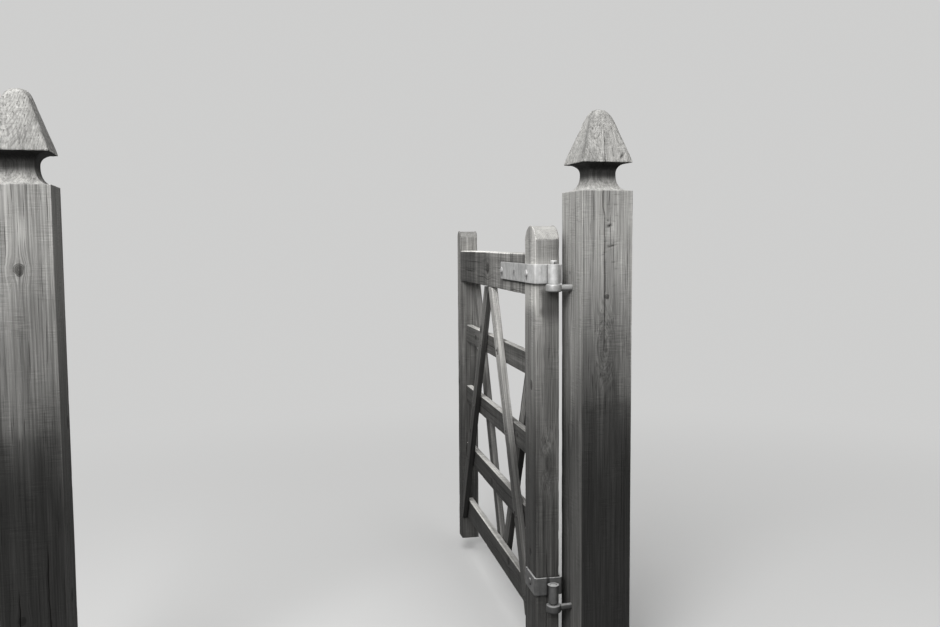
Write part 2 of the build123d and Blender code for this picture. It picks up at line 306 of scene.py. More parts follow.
def crack_taper(at, path, crack):
    """How wide open a crack is at a place along it, from 0 at its closed ends to 1."""
    start, end = path[0, 0], path[-1, 0]
    run = (end - start) * CRACK_CLOSING
    low_end = 1.0 if crack.open_low else ramp(at, start, start + run)
    high_end = 1.0 if crack.open_high else 1 - ramp(at, end - run, end)
    return float(start <= at <= end) * low_end * high_end


def open_cracks(side, place, turn, along, cracks):
    """Draws columns together along each crack. Gives the columns' places, the depth and the shade."""
    places = np.tile(place, (along.shape[0], 1))
    depth, shade = np.zeros_like(places), np.zeros_like(places)
    for face in sorted({crack.side for crack in cracks}):
        flat = np.flatnonzero((side == face) & (turn == 0))
        base = place[flat]
        plans = []
        for crack in (c for c in cracks if c.side == face):
            path = np.array(crack.path)
            middle = int(np.clip(np.abs(base - path[:, 1].mean()).argmin(), 3, len(base) - 4))
            plans.append((middle, path, crack))
        plans.sort(key=lambda plan: plan[0])
        for row in range(along.shape[0]):
            fixed, moved = [base[0]], [base[0]]
            for middle, path, crack in plans:
                at = along[row, flat[middle]]
                start, end = path[0, 0], path[-1, 0]
                hold = ramp(at, start - CRACK_BLEND, start) * (1 - ramp(at, end, end + CRACK_BLEND))
                if hold == 0:
                    continue
                taper = crack_taper(at, path, crack)
                sway = CRACK_SWAY * face_noise(at, 0.0, (SWAY_LENGTH, 1), crack.seed)
                centre = np.interp(at, path[:, 0], path[:, 1]) + sway
                columns = slice(middle - 2, middle + 3)
                narrow = centre + CRACK_COLUMNS * (crack.width / 2 * taper + CRACK_LEAST)
                fixed += list(base[columns])
                moved += list(base[columns] * (1 - hold) + narrow * hold)
                depth[row, flat[columns]] = CRACK_DEPTHS * crack.depth * taper
                shade[row, flat[columns]] = CRACK_SHADES * ramp(taper, 0, 0.35)
            if len(fixed) > 1:
                places[row, flat] = np.interp(base, fixed + [base[-1]], moved + [base[-1]])
    return places, depth, shade


def close_ends(rings, across, through):
    """Fills both ends of the rings with a grid that follows their edges: new points and all faces."""
    rows, count, width = rings.shape
    faces = ring_faces(rows, count)
    edges = np.zeros((across + 1, through + 1), int)
    edges[:, 0] = np.arange(across + 1)
    edges[-1, :] = across + np.arange(through + 1)
    edges[:, -1] = 2 * across + through - np.arange(across + 1)
    edges[0, :] = -np.arange(through + 1) % count
    u = np.linspace(0, 1, across + 1)[:, None, None]
    v = np.linspace(0, 1, through + 1)[None, :, None]
    extra = []
    start = rows * count
    for row in (0, rows - 1):
        rim = rings[row][edges]
        patch = (1 - v) * rim[:, :1] + v * rim[:, -1:] + (1 - u) * rim[:1] + u * rim[-1:]
        patch -= (1 - u) * (1 - v) * rim[0, 0] + u * (1 - v) * rim[-1, 0]
        patch -= u * v * rim[-1, -1] + (1 - u) * v * rim[0, -1]
        inner = patch[1:-1, 1:-1].reshape(-1, width)
        index = edges + row * count
        index[1:-1, 1:-1] = start + np.arange(len(inner)).reshape(across - 1, through - 1)
        start += len(inner)
        extra.append(inner)
        quads = np.stack([index[:-1, :-1], index[1:, :-1], index[1:, 1:], index[:-1, 1:]], axis=-1)
        quads = quads.reshape(-1, 4) if row else quads.reshape(-1, 4)[:, ::-1]
        faces += [tuple(quad) for quad in quads.tolist()]
    return np.concatenate(extra), faces


def shape_knots(wood, skin, knots):
    """Bends the grain round each knot. Gives how deep in a knot each point is and how far it stands out.

    A knot stands a little proud of the worn wood, in a shallow ditch.
    """
    deep, relief = np.zeros(skin.along.shape), np.zeros(skin.along.shape)
    for knot in knots:
        on = skin.on(knot.side)
        run, across = skin.along - knot.run, skin.place - knot.across
        wobble = KNOT_WOBBLE * face_noise(skin.along, skin.place, (0.9 * knot.radius,) * 2, 17)
        distance = np.hypot(run / (KNOT_LENGTH * knot.radius), across / knot.radius) + wobble
        bend = -0.8 * across * on * bell(distance, 1.9)
        wood[..., 1:] += bend[..., None] * SIDE_RUNS[knot.side]
        deep = np.maximum(deep, on * np.clip(1.3 - distance, 0, 1.3))
        relief += on * (KNOT_RISE * (1 - ramp(distance, 0.6, 1.0)) - KNOT_DITCH * bell(distance - 1.2, 0.3))
    return deep, relief


def cut_scars(skin, scars):
    """Short gashes and old nail holes: from 0 to 1 where the surface is cut."""
    shape = np.zeros(skin.along.shape)
    for scar in scars:
        run, across = skin.along - scar.run, skin.place - scar.across
        down = run * cos(scar.lean) + across * sin(scar.lean)
        over = across * cos(scar.lean) - run * sin(scar.lean)
        cut = scar.deep * bell(down, scar.length) * bell(over, scar.width)
        shape = np.maximum(shape, skin.on(scar.side) * cut)
    return shape


def wear(spec, skin, wood, ridges):
    """How far each point is pushed out, by worn grain, waves and chipped arrises."""
    fine = noise(wood, FINE_LUMPS, spec.seed + 1)
    waves = noise(wood, WAVE_LUMPS, spec.seed + 2)
    corner = (skin.side + (skin.place > 0)) % 4
    chips = ramp(face_noise(skin.along, corner * 1.7, (CHIP_LENGTH, 1), spec.seed + 3), 0.25, 0.9)
    worn = WORN_LEAST + CHIP_DEPTH * chips * spec.chips
    lift = RIDGE_HEIGHT * ridges + FINE_HEIGHT * fine + WAVE_HEIGHT * waves - WORN_AWAY
    return lift - worn * bell(np.maximum(skin.edge, 0), ARRIS_REACH)


def facing_tone(upward, bleach):
    """How pale wood is by the way it faces: paler on top, partly sun bleaching and partly painted light from
    above, and painted shade underneath.
    """
    return (1 + bleach * ramp(upward, *UPWARD)) * (1 - UNDERSIDE_SHADE * ramp(-upward, *DOWNWARD))


def tones(spec, world, upward, edge, wood, ridges):
    """How pale each point is: streaks, paler tops (partly sun bleaching, partly painted light), painted shade
    on undersides, darker wood near the ground (partly damp, partly painted shade) and pale arrises (partly
    wear, partly painted highlight).
    """
    seed = spec.seed + 10
    streaks = 0.2 * ridges + 0.2 * noise(wood, BROAD_STREAK_LUMPS, seed)
    streaks += 0.14 * noise(wood, FINE_STREAK_LUMPS, seed + 1)
    tone = 1 + spec.streaks * streaks + 0.1 * noise(wood, CLOUD_LUMPS, seed + 2)
    # Darker towards the ground: partly damp, partly painted shade; upward faces keep most of their painted
    # light
    damp_and_shade_edge = world[..., 2] + 0.1 * noise(world, DAMP_AND_SHADE_LUMPS, seed + 3)
    damp_and_shade_edge += 0.05 * noise(world, DAMP_AND_SHADE_EDGE_LUMPS, seed + 4)
    damp_and_shade = (1 - spec.damp_and_shade_tone) * (1 - ramp(damp_and_shade_edge, *spec.damp_and_shade))
    tone *= 1 - damp_and_shade * (1 - 0.8 * ramp(upward, *UPWARD))
    # Painted light and shade by facing, and pale arrises that are partly wear and partly painted highlight
    tone *= facing_tone(upward, spec.bleach) * (1 + ARRIS_PALE * bell(edge, ARRIS))
    return np.maximum(spec.tone * tone, LEAST_TONE)


def timber(spec, skin, matrix, hold=1.0):
    """The finished mesh of one board, from its surface in the board's own frame.

    Hold is less than 1 where the section is so small that wear and carving shrink with it.
    """
    even = np.concatenate([skin.along[..., None], skin.flat], axis=-1)
    wood = even - np.array([-GRAIN_SHIFT * spec.seed, *spec.pith])
    knot, relief = shape_knots(wood, skin, spec.knots)
    for swell in spec.swells:
        rise = swell.rise * skin.on(swell.side) * bell(skin.along - swell.run, swell.length)
        rise = rise * bell(skin.place - swell.across, swell.width)
        wood[..., 1:] += rise[..., None] * SIDE_NORMALS[swell.side]
    ridges = noise(wood, RIDGE_LUMPS, spec.seed)
    cut = cut_scars(skin, spec.scars)
    push = (wear(spec, skin, wood, ridges) + relief - SCAR_DEPTH * cut) * hold - skin.depth
    axes = np.array(spec.axes, float)
    world = move((even + skin.normal * push[..., None]) @ axes + np.array(spec.origin), matrix)
    upward = (skin.normal @ axes)[..., 2]
    tone = tones(spec, world, upward, skin.edge + (1 - hold) * ARRIS_REACH, wood, ridges)
    # Patches add stains and painted light and shade
    for patch in spec.patches:
        tone = tone * patch(skin)
    # Painted shade in the cracks and in the cut scars
    dark = np.clip(skin.shade + cut, 0, 1)
    rings = np.concatenate([world, wood, tone[..., None], dark[..., None], knot[..., None]], axis=-1)
    extra, faces = close_ends(rings, *np.bincount(skin.side)[:2])
    half = len(extra) // 2
    for row, end, facing in ((0, slice(0, half), -axes[0, 2]), (-1, slice(half, None), axes[0, 2])):
        mottle = 1 + 0.12 * noise(extra[end, :3], (MOTTLE_SIZE,) * 3, spec.seed + 20)
        # End grain is darker, with the same painted light and shade by facing
        extra[end, 6] = END_TONE * np.median(tone[row]) * mottle * facing_tone(facing, spec.bleach)
    whole = np.concatenate([rings.reshape(-1, rings.shape[-1]), extra])
    fields = {
        "wood": whole[:, 3:6],
        "tone": whole[:, 6],
        "dark": whole[:, 7],
        "knot": whole[:, 8],
        "end_grain": np.arange(len(whole)) >= len(whole) - len(extra),
        "wash": np.full(len(whole), spec.wash),
    }
    return make_mesh(spec.name, whole[:, :3], outward(whole[:, :3], faces), fields)


def straight_board(spec, width, thickness, ends, step=0.005):
    """A board of even section. Ends gives where it starts and stops along it, for places across it."""
    side, place, inset, turn = section(width, thickness, COLUMN_GAP)
    half_out = np.where(side % 2 == 0, thickness, width) / 2
    half_run = np.where(side % 2 == 0, width, thickness) / 2
    low, high = ends(in_section(side, place, half_out - inset)[:, 0])
    last = END_STEPS[-1]
    inner = ceil((high - low).max() / step)
    rows = [low + gap for gap in END_STEPS]
    rows += [low + last + (high - low - 2 * last) * k / inner for k in range(1, inner)]
    rows += [high - gap for gap in reversed(END_STEPS)]
    along = np.array(rows)
    gap = np.minimum(np.minimum(along - low, high - along), last)
    rounding = last - np.sqrt(last**2 - (last - gap) ** 2)
    places, depth, shade = open_cracks(side, place, turn, along, spec.cracks)
    edge = half_run - np.abs(places)
    places = places * (1 - rounding / half_run)
    flat = in_section(side, places, half_out - inset - rounding)
    normal = np.zeros((*along.shape, 3))
    normal[..., 1:] = in_section(side, np.sin(turn), np.cos(turn))
    return timber(spec, Skin(side, along, places, edge, flat, normal, depth, shade), LEAF_PLACE)


# The posts: a square shaft with a hollow neck and a capped head

UPRIGHT = [(0, 0, 1), (1, 0, 0), (0, -1, 0)]
POST_SIDE = 0.15
SHAFT_HEIGHT = 1.395
NECK_HEIGHT = 0.075
NECK_SIDE = 0.0765
NECK_CURVE = 0.85
NECK_WAIST = SHAFT_HEIGHT + 0.046
NECK_TOP = SHAFT_HEIGHT + NECK_HEIGHT
CAP_SIDE = 0.145
CAP_LIP = 0.004
CAP_FLANK_HEIGHT = 0.123
CAP_FLANK_SWELL = 0.0015
CAP_LEAN = 0.004
CAP_SHOULDER_SIDE = 0.066
LIP_TOP = NECK_TOP + CAP_LIP
CAP_SHOULDER = LIP_TOP + CAP_FLANK_HEIGHT
SHOULDER_ROUND = 0.35
CROWN_LEAST = 0.0015
CROWN_FROM = radians(29.5)
CROWN_CURVE = 0.75
CROWN_BLEND = 0.01
PROFILE_BEVEL = 0.0012
FINE_FROM = 1.08
NECK_LOW_ROWS = 24
NECK_HIGH_ROWS = 18
LIP_ROWS = 5
FLANK_ROWS = 40
CROWN_ROWS = 18
CRACK_SHRINK = 1.2
ARRIS_SHRINK = 2.0
WEAR_SPAN = (0.05, 0.6)


def blunt_quarter(first, last, curve, count, start=0.0):
    """A blunt quarter ellipse, begun at the given turn, from one place to a last one that lies level."""
    (half, low), (last_half, high) = first, last
    shares = [(abs(cos(turn)) ** curve, sin(turn) ** curve) for turn in np.linspace(start, pi / 2, count)]
    run, up = np.array(shares).T
    run, up = run / run[0], (up - up[0]) / (1 - up[0])
    return list(zip(last_half + (half - last_half) * run, low + (high - low) * up))


def post_profile(half, top, step):
    """The post's outline from foot to crown: half width and height of each row, and its outward normal."""
    cap_half, shoulder_half = CAP_SIDE / 2, CAP_SHOULDER_SIDE / 2
    waist = (NECK_SIDE / 2, NECK_WAIST)
    coarse = np.linspace(0, FINE_FROM, ceil(FINE_FROM / step) + 1)[:-1]
    fine = np.linspace(FINE_FROM, SHAFT_HEIGHT, ceil((SHAFT_HEIGHT - FINE_FROM) / (step / 2)) + 1)
    share = np.linspace(0, 1, FLANK_ROWS)
    flank = cap_half + (shoulder_half - cap_half) * share + 4 * CAP_FLANK_SWELL * share * (1 - share)
    runs = [
        [(half, z) for z in (*coarse, *fine)],
        blunt_quarter(waist, (half, SHAFT_HEIGHT), NECK_CURVE, NECK_LOW_ROWS)[::-1]
        + blunt_quarter(waist, (cap_half, NECK_TOP), NECK_CURVE, NECK_HIGH_ROWS)[1:],
        [(cap_half, z) for z in np.linspace(NECK_TOP, LIP_TOP, LIP_ROWS)],
        np.stack([flank, LIP_TOP + CAP_FLANK_HEIGHT * share], axis=1),
        blunt_quarter((shoulder_half, CAP_SHOULDER), (0, top), CROWN_CURVE, CROWN_ROWS, CROWN_FROM),
    ]
    points, normals = [], []
    for run in runs:
        run = np.array(run)
        tangents = np.gradient(run, axis=0)
        tangents /= np.hypot(tangents[:, 0], tangents[:, 1])[:, None]
        if points:
            run[0] += tangents[0] * PROFILE_BEVEL
        run[-1] -= tangents[-1] * PROFILE_BEVEL
        points += list(run)
        normals += list(np.stack([tangents[:, 1], -tangents[:, 0]], axis=1))
    points, normals = np.array(points), np.array(normals)
    keep = points[:, 0] > CROWN_LEAST
    return points[keep], normals[keep]


def crown_rounding(flat, points, top):
    """How far a square section is drawn in towards a round one, more and more up the cap."""
    share = SHOULDER_ROUND * ramp(points[:, 1], LIP_TOP, CAP_SHOULDER)
    share += (1 - SHOULDER_ROUND) * ramp(points[:, 1], CAP_SHOULDER - CROWN_BLEND, top)
    other = (flat / points[:, 0][:, None, None])[..., ::-1]
    return 1 - share[:, None, None] * (1 - np.sqrt(1 - np.clip(other, -1, 1) ** 2 / 2))


def build_post(node, spacing, step, lean, **look):
    """A post with its shaped head, whose section shrinks and swells, and whose cap may lean a little."""
    spec = Board(node + "_timber", UPRIGHT, **look)
    low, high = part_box(node)
    half = (high.x - low.x) / 2
    side, place, inset, turn = section(2 * half, 2 * half, spacing)
    points, normals = post_profile(half, high.z, step)
    level = points[:, 1:]
    along = np.repeat(level, len(side), axis=1)
    share = points[:, :1] / half
    places, depth, shade = open_cracks(side, place, turn, along, spec.cracks)
    depth, places = depth * np.minimum(1, share * CRACK_SHRINK), places * share
    edge = half * share - np.abs(places)
    flat = in_section(side, places, points[:, :1] - inset * np.minimum(1, share * ARRIS_SHRINK))
    flat = flat * crown_rounding(flat, points, high.z)
    flat[..., 0] += lean / 2 * ramp(level, SHAFT_HEIGHT, NECK_WAIST)
    flat[..., 0] += lean / 2 * ramp(level, LIP_TOP, CAP_SHOULDER)
    normal = np.zeros((*along.shape, 3))
    normal[..., 0] = normals[:, 1:]
    normal[..., 1:] = normals[:, 0][:, None, None] * in_section(side, np.sin(turn), np.cos(turn))
    matrix = Matrix.Translation(((low.x + high.x) / 2, (low.y + high.y) / 2, 0))
    skin = Skin(side, along, places, edge, flat, normal, depth, shade)
    mesh = timber(spec, skin, matrix, hold=ramp(share, *WEAR_SPAN))
    show(spec.name, mesh, POST_TIMBER, "posts", node)


# Shader nodes


class Shader:
    """The nodes of a material or world, made one by one. Values are numbers, colours or nodes' outputs."""

    def __init__(self, owner):
        owner.use_nodes = True
        self.tree = owner.node_tree
        self.surface = self.tree.nodes.get("Principled BSDF")

    def feed(self, socket, value):
        if isinstance(value, bpy.types.NodeSocket):
            self.tree.links.new(value, socket)
        else:
            socket.default_value = value

    def feed_all(self, node, values):
        for key, value in values.items():
            self.feed(node.inputs[key], value)

    def add(self, kind, inputs, **settings):
        node = self.tree.nodes.new(kind)
        for key, value in settings.items():
            setattr(node, key, value)
        self.feed_all(node, inputs)
        return node

    def math(self, operation, first, second=0.0, third=0.5):
        return self.add("ShaderNodeMath", {0: first, 1: second, 2: third}, operation=operation).outputs[0]

    def times(self, first, second):
        return self.math("MULTIPLY", first, second)

    def plus(self, first, second):
        return self.math("ADD", first, second)

    def centred(self, value, amount):
        """Noise made to swing round zero, by the given amount."""
        return self.times(self.math("SUBTRACT", value, 0.5), amount)

    def vector(self, operation, first, second=(0, 0, 0), output="Vector"):
        node = self.add("ShaderNodeVectorMath", {0: first, 1: second}, operation=operation)
        return node.outputs[output]

    def part(self, vector, axis):
        return self.add("ShaderNodeSeparateXYZ", {0: vector}).outputs[axis]

    def noise(self, vector, scale=1.0, detail=4.0, roughness=0.55):
        inputs = {"Vector": vector, "Scale": scale, "Detail": detail, "Roughness": roughness}
        return self.add("ShaderNodeTexNoise", inputs).outputs["Fac"]

    def rise(self, value, low, high, start=0.0, end=1.0):
        inputs = {"Value": value, "From Min": low, "From Max": high, "To Min": start, "To Max": end}
        return self.add("ShaderNodeMapRange", inputs, interpolation_type="SMOOTHSTEP").outputs["Result"]

    def mix(self, share, first, second):
        """A blend of two colours."""
        return self.add("ShaderNodeMix", {0: share, 6: first, 7: second}, data_type="RGBA").outputs[2]

    def shade(self, colour, *amounts):
        """The colour, darker or paler by each of the factors."""
        for amount in amounts:
            inputs = {0: colour, "Scale": amount}
            colour = self.add("ShaderNodeVectorMath", inputs, operation="SCALE").outputs[0]
        return colour

    def attribute(self, name, output="Fac"):
        return self.add("ShaderNodeAttribute", {}, attribute_name=name).outputs[output]

    def bump(self, height, distance):
        return self.add("ShaderNodeBump", {"Height": height, "Distance": distance}).outputs["Normal"]


RING_GAP = 0.0042
TIMBER_BUMP = 0.0012
TIMBER_SHEEN = {"Roughness": 0.88, "Specular IOR Level": 0.25}
CRACK_COLOUR = (0.012, 0.011, 0.010, 1)
KNOT_COLOUR = (0.036, 0.034, 0.031, 1)
SAWN_SHADE = 1.6
RAIN_SHADE = 2.4


def timber_material(name, dark, pale):
    """Weathered softwood: silvered fibres, worn rings, drying checks and knots, with the tone field's damp,
    bleaching and painted light and shade, and painted shade in cracks and scars.
    """
    material = bpy.data.materials.new(name)
    s = Shader(material)
    wood, wash, deep = s.attribute("wood", "Vector"), s.attribute("wash"), s.attribute("knot")

    def grain(stretch, detail=2.0, roughness=0.55):
        return s.noise(s.vector("MULTIPLY", wood, stretch), detail=detail, roughness=roughness)

    strength = s.rise(s.attribute("end_grain"), 0.0, 1.0, 1.0, 0.3)
    strength = s.times(strength, s.rise(wash, 0.0, 1.0, 1.0, 0.35))
    streak = s.plus(s.centred(grain((3.0, 190, 190), 5.0, 0.7), strength), 0.5)
    rain = s.centred(grain((85, 5, 5), 4.0, 0.6), wash)
    fibre = grain((12, 700, 700), 3.0, 0.65)
    check = s.rise(grain((5, 300, 300)), 0.64, 0.7)
    squares = [s.times(s.part(wood, axis), s.part(wood, axis)) for axis in (1, 2)]
    radius = s.math("SQRT", s.plus(*squares))
    wander = grain((1.6, 18, 18))
    turns = s.plus(s.math("DIVIDE", radius, RING_GAP), s.times(wander, 3.0))
    ring = s.rise(s.math("SINE", s.times(turns, 2 * pi)), 0.1, 1.0)
    speckle = s.rise(s.noise(wood, scale=260.0, detail=2.0), 0.6, 0.75)
    sawn = s.centred(grain((520, 22, 22), 3.0, 0.6), s.rise(s.noise(wood, scale=14.0), 0.42, 0.62))
    colour = s.shade(
        s.mix(s.rise(streak, 0.33, 0.67), dark, pale),
        s.rise(fibre, 0.25, 0.75, 0.8, 1.18),
        s.rise(ring, 0.0, 1.0, 1.04, 0.86),
        s.math("MULTIPLY_ADD", sawn, SAWN_SHADE, 1.0),
        s.math("MULTIPLY_ADD", rain, RAIN_SHADE, 1.0),
        s.rise(speckle, 0.0, 1.0, 1.0, 1.15),
    )
    swirl = s.math("SINE", s.plus(s.times(deep, 26.0), s.times(wander, 9.0)))
    inside = s.times(s.rise(deep, 0.22, 0.5), s.rise(swirl, -1.0, 1.0, 0.55, 0.92))
    rim = s.times(s.rise(deep, 0.12, 0.28), s.rise(deep, 0.3, 0.46, 1.0, 0.0))
    colour = s.mix(s.math("MAXIMUM", inside, s.times(rim, 0.8)), colour, KNOT_COLOUR)
    # The tone field carries painted light and shade; the dark field paints shade into cracks and scars
    colour = s.mix(s.times(check, 0.6), s.shade(colour, s.attribute("tone")), CRACK_COLOUR)
    colour = s.mix(s.attribute("dark"), colour, CRACK_COLOUR)
    height = s.plus(s.times(streak, 0.9), s.times(fibre, 0.35))
    for relief, share in ((check, -0.8), (ring, -0.2), (sawn, 0.8)):
        height = s.plus(height, s.times(relief, share))
    looks = {"Base Color": colour, "Normal": s.bump(height, TIMBER_BUMP), **TIMBER_SHEEN}
    s.feed_all(s.surface, looks)
    return material


ZINC_BUMP = 0.0005
ZINC_DIRT_AND_SHADE_SPAN = (0.3, 0.9)
ZINC_DIRT_AND_SHADE = 0.16
DIRT_AND_SHADOW_SHADE = 0.3


def zinc_material(name, colour, roughness, stains_and_shading=()):
    """Dull hot-dipped zinc: faint spangle, cloudy oxide, dirty runs, small pits, darker nearer the ground
    (partly dirt, partly painted shade), painted shade underneath and painted light on upward faces.

    Each spot of stain, painted shadow or painted light has its centre, a squeeze along each axis, its reach
    and its shade.
    """
    material = bpy.data.materials.new(name)
    s = Shader(material)
    place = s.add("ShaderNodeTexCoord", {}).outputs["Object"]
    facing_up = s.part(s.add("ShaderNodeNewGeometry", {}).outputs["Normal"], 2)
    spangle = s.part(s.add("ShaderNodeTexVoronoi", {"Vector": place, "Scale": 95.0}).outputs["Color"], 0)
    cloud = s.noise(place, scale=32.0, detail=5.0, roughness=0.6)
    grime = s.noise(s.vector("MULTIPLY", place, (60, 60, 9)), detail=4.0)
    pits = s.noise(place, scale=420.0, detail=3.0, roughness=0.65)
    # Darker nearer the ground: partly dirt, partly painted shade
    low_dirt_and_shade = s.rise(s.part(place, 2), *ZINC_DIRT_AND_SHADE_SPAN, ZINC_DIRT_AND_SHADE, 1.0)
    tone = s.shade(
        colour,
        s.rise(spangle, 0.0, 1.0, 0.93, 1.05),
        s.rise(cloud, 0.3, 0.7, 0.82, 1.08),
        s.rise(s.rise(grime, 0.55, 0.78), 0.0, 1.0, 1.0, 0.6),
        # Painted light keeps upward faces pale near the ground; painted shade underneath and painted light on
        # top
        s.math("MAXIMUM", low_dirt_and_shade, s.rise(facing_up, 0.5, 0.95, 0.0, 0.75)),
        s.rise(facing_up, -0.6, 0.0, 0.4, 1.0),
        s.rise(facing_up, 0.4, 0.9, 1.0, 1.5),
    )
    # Spots of stain, painted shadow and painted light
    for centre, squeeze, reach, shade in stains_and_shading:
        away = s.vector("MULTIPLY", s.vector("SUBTRACT", place, centre), squeeze)
        away = s.vector("LENGTH", away, output="Value")
        tone = s.shade(tone, s.rise(away, 0.6 * reach, reach, shade, 1.0))
    normal = s.bump(s.plus(s.times(pits, 0.5), s.times(cloud, 0.6)), ZINC_BUMP)
    dullness = s.rise(cloud, 0.3, 0.7, roughness + 0.12, roughness - 0.08)
    s.feed_all(s.surface, {"Base Color": tone, "Roughness": dullness, "Normal": normal, "Metallic": 0.6})
    return material


# Metal shapes: points and faces

AXIS_GAP = 0.001
MOST_CUT = 0.45


def lathe(radii, heights, closed):
    """A body about +Z from rows of radii, whose ends are flat if it isn't closed into a ring."""
    rows, sides = radii.shape
    angles = np.linspace(0, 2 * pi, sides, endpoint=False)
    levels = np.repeat(np.array(heights)[:, None], sides, axis=1)
    points = np.stack([radii * np.cos(angles), radii * np.sin(angles), levels], axis=-1).reshape(-1, 3)
    faces = ring_faces(rows, sides, closed)
    return points, faces if closed else faces + end_faces(rows, sides)


def revolve(profile, sides=44, closed=False):
    """A round body about +Z from its outline of radii and heights."""
    radii, heights = np.array(profile, float).T
    return lathe(np.repeat(radii[:, None], sides, axis=1), heights, closed)


def rounded(corners, radius, steps=3):
    """An outline whose corners are rounded, each by the radius, the two ends kept."""
    outline = [corners[0]]
    for before, here, after in zip(corners, corners[1:], corners[2:]):
        here = Vector(here)
        into, out = Vector(before) - here, Vector(after) - here
        cut = min(radius, into.length * MOST_CUT, out.length * MOST_CUT)
        for share in np.linspace(0, 1, steps + 1):
            bend = into.normalized() * cut * (1 - share) ** 2 + out.normalized() * cut * share**2
            outline.append(tuple(here + bend))
    return [*outline, corners[-1]]


def rounded_loop(corners, radius):
    """A closed outline whose corners are rounded."""
    return rounded([corners[-1], *corners, corners[0]], radius)[1:-1]


def ring_outline(inner, outer, low, high, edge):
    """The closed outline of a tube's wall."""
    return rounded_loop([(inner, low), (outer, low), (outer, high), (inner, high)], edge)


def rod_outline(radius, low, high, edge, steps=3):
    """The outline of a solid rod, which starts and ends just beside its axis."""
    return rounded([(AXIS_GAP, low), (radius, low), (radius, high), (AXIS_GAP, high)], edge, steps)


def divided(outline, longest):
    """An outline with points added where it runs on for longer than the given length."""
    points = []
    for here, after in zip(outline, outline[1:]):
        pieces = max(1, round(hypot(after[0] - here[0], after[1] - here[1]) / longest))
        for k in range(pieces):
            points.append(tuple(here[axis] + (after[axis] - here[axis]) * k / pieces for axis in (0, 1)))
    return [*points, outline[-1]]


def placed(shape, place):
    """A shape's points carried by a matrix, with the same faces."""
    points, faces = shape
    return move(points, place), faces


def combine(parts, cuts=()):
    """One closed mesh from parts that overlap, with the shapes to cut taken out of it."""
    whole = add_object("whole", make_mesh("whole", *parts[0]))
    steps = [(part, "UNION") for part in parts[1:]] + [(cut, "DIFFERENCE") for cut in cuts]
    for shape, operation in steps:
        other = add_object("other", make_mesh("other", *shape))
        modifier = whole.modifiers.new("combine", "BOOLEAN")
        modifier.operation = operation
        modifier.solver = "EXACT"
        modifier.object = other
        bpy.context.view_layer.update()
        made = bpy.data.meshes.new_from_object(whole.evaluated_get(bpy.context.evaluated_depsgraph_get()))
        whole.modifiers.clear()
        whole.data = made
        bpy.data.objects.remove(other)
    mesh = whole.data
    bpy.data.objects.remove(whole)
    return mesh


METAL_SHARP = radians(38)
HAMMER_SIZE = 0.011
HAMMER_DEPTH = 0.00022


def show_metal(name, mesh, material, place, seed, body="leaf", node=None):
    """Shows a metal piece, carried to its place, with a slightly uneven, hand-forged surface."""
    points, normals = np.zeros((2, len(mesh.vertices) * 3))
    mesh.vertices.foreach_get("co", points)
    mesh.vertices.foreach_get("normal", normals)
    points, normals = points.reshape(-1, 3), normals.reshape(-1, 3)
    points = points + normals * (HAMMER_DEPTH * noise(points, (HAMMER_SIZE,) * 3, seed))[:, None]
    mesh.vertices.foreach_set("co", move(points, place).ravel())
    mesh.update()
    mesh.shade_smooth()
    mesh.set_sharp_from_angle(angle=METAL_SHARP)
    show(name, mesh, material, body, node)


# The metalwork's sizes. Its turns carry +Z to +X, to the leaf's front and to its back.

TO_X = Matrix.Rotation(radians(90), 4, "Y")
TO_FRONT = Matrix.Rotation(radians(-90), 4, "X")
TO_BACK = Matrix.Rotation(radians(90), 4, "X")

STRAP_THICKNESS = 0.006
STRAP_EDGE = 0.0014
STRAP_COLUMN = 0.006
STRAP_BEND = 0.004
STRAP_TIP = 0.004
STRAP_BEND_ROWS = 9
STRAP_SIDE_ROWS = 12
STRAP_TIP_ROWS = (0.0006, 0.0016, 0.0028, 0.004)
BOTTOM_STRAP_HEIGHT = 0.05
BOTTOM_STRAP_SLACK = 0.006
BARREL_RADIUS = 0.0165
BOTTOM_BARREL_RADIUS = 0.014
BOTTOM_BARREL_HEIGHT = 0.054
BARREL_LIP = 0.003
LIP_EDGE = 0.0008
LIP_INSET = 0.0002
BARREL_EDGE = 0.0012
BORE_RADIUS = 0.00965
TOP_WEB_HALF = 0.0117
BOTTOM_WEB_HALF = 0.006
WEB_INSET = 0.0004
WELD_FLARE = 0.004
WELD_CURVE = 2.5
WELD_ROWS = 9
SPARE_HOLE = 0.249
HOLE_RADIUS = 0.0053

BOLT_RADIUS = 0.005
BOLT_TIP = 0.002
SHANK_ROW = -0.012
HEAD_RADIUS = 0.0108
HEAD_HEIGHT = 0.0054
DOME_TURNS = (radians(4), radians(88))
DOME_CURVE = 0.85
DOME_ROWS = 12
THREAD_PITCH = 0.0012
THREAD_DEPTH = 0.0006
THREADS = 15
FIT_GAP = 0.0001
NUT_ACROSS = 0.017
NUT_HEIGHT = 0.008
NUT_CHAMFER = 0.0009

BOSS_RADIUS = 0.022
BOSS_HEIGHT = 0.022
BOSS_EDGE = 0.006
ARM_RADIUS = 0.0095
ARM_START = 0.004
ARM_END = 0.163
ARM_POINT_LENGTH = 0.028
ARM_POINT_RADIUS = 0.0015
ARM_ROWS = 26
PIN_RADIUS = 0.0095
PIN_EDGE = 0.002
PIN_START = 0.002
PIN_ROW = 0.005
COTTER_RADIUS = 0.0026
COTTER_FROM_END = 0.007
COTTER_REACH = 0.04

NAIL_RADIUS = 0.0042
NAIL_HEIGHT = 0.0014
NAIL_SINK = 0.001
NAIL_SPREAD = 0.011
NAIL_SLANT = 0.4
NAIL_DOME_TURN = radians(84)

TOP_BAND_SEED, BOTTOM_BAND_SEED = 71, 72
HOOK_SEED, BOLT_SEED, NUT_SEED, NAIL_SEED = 73, 75, 76, 77


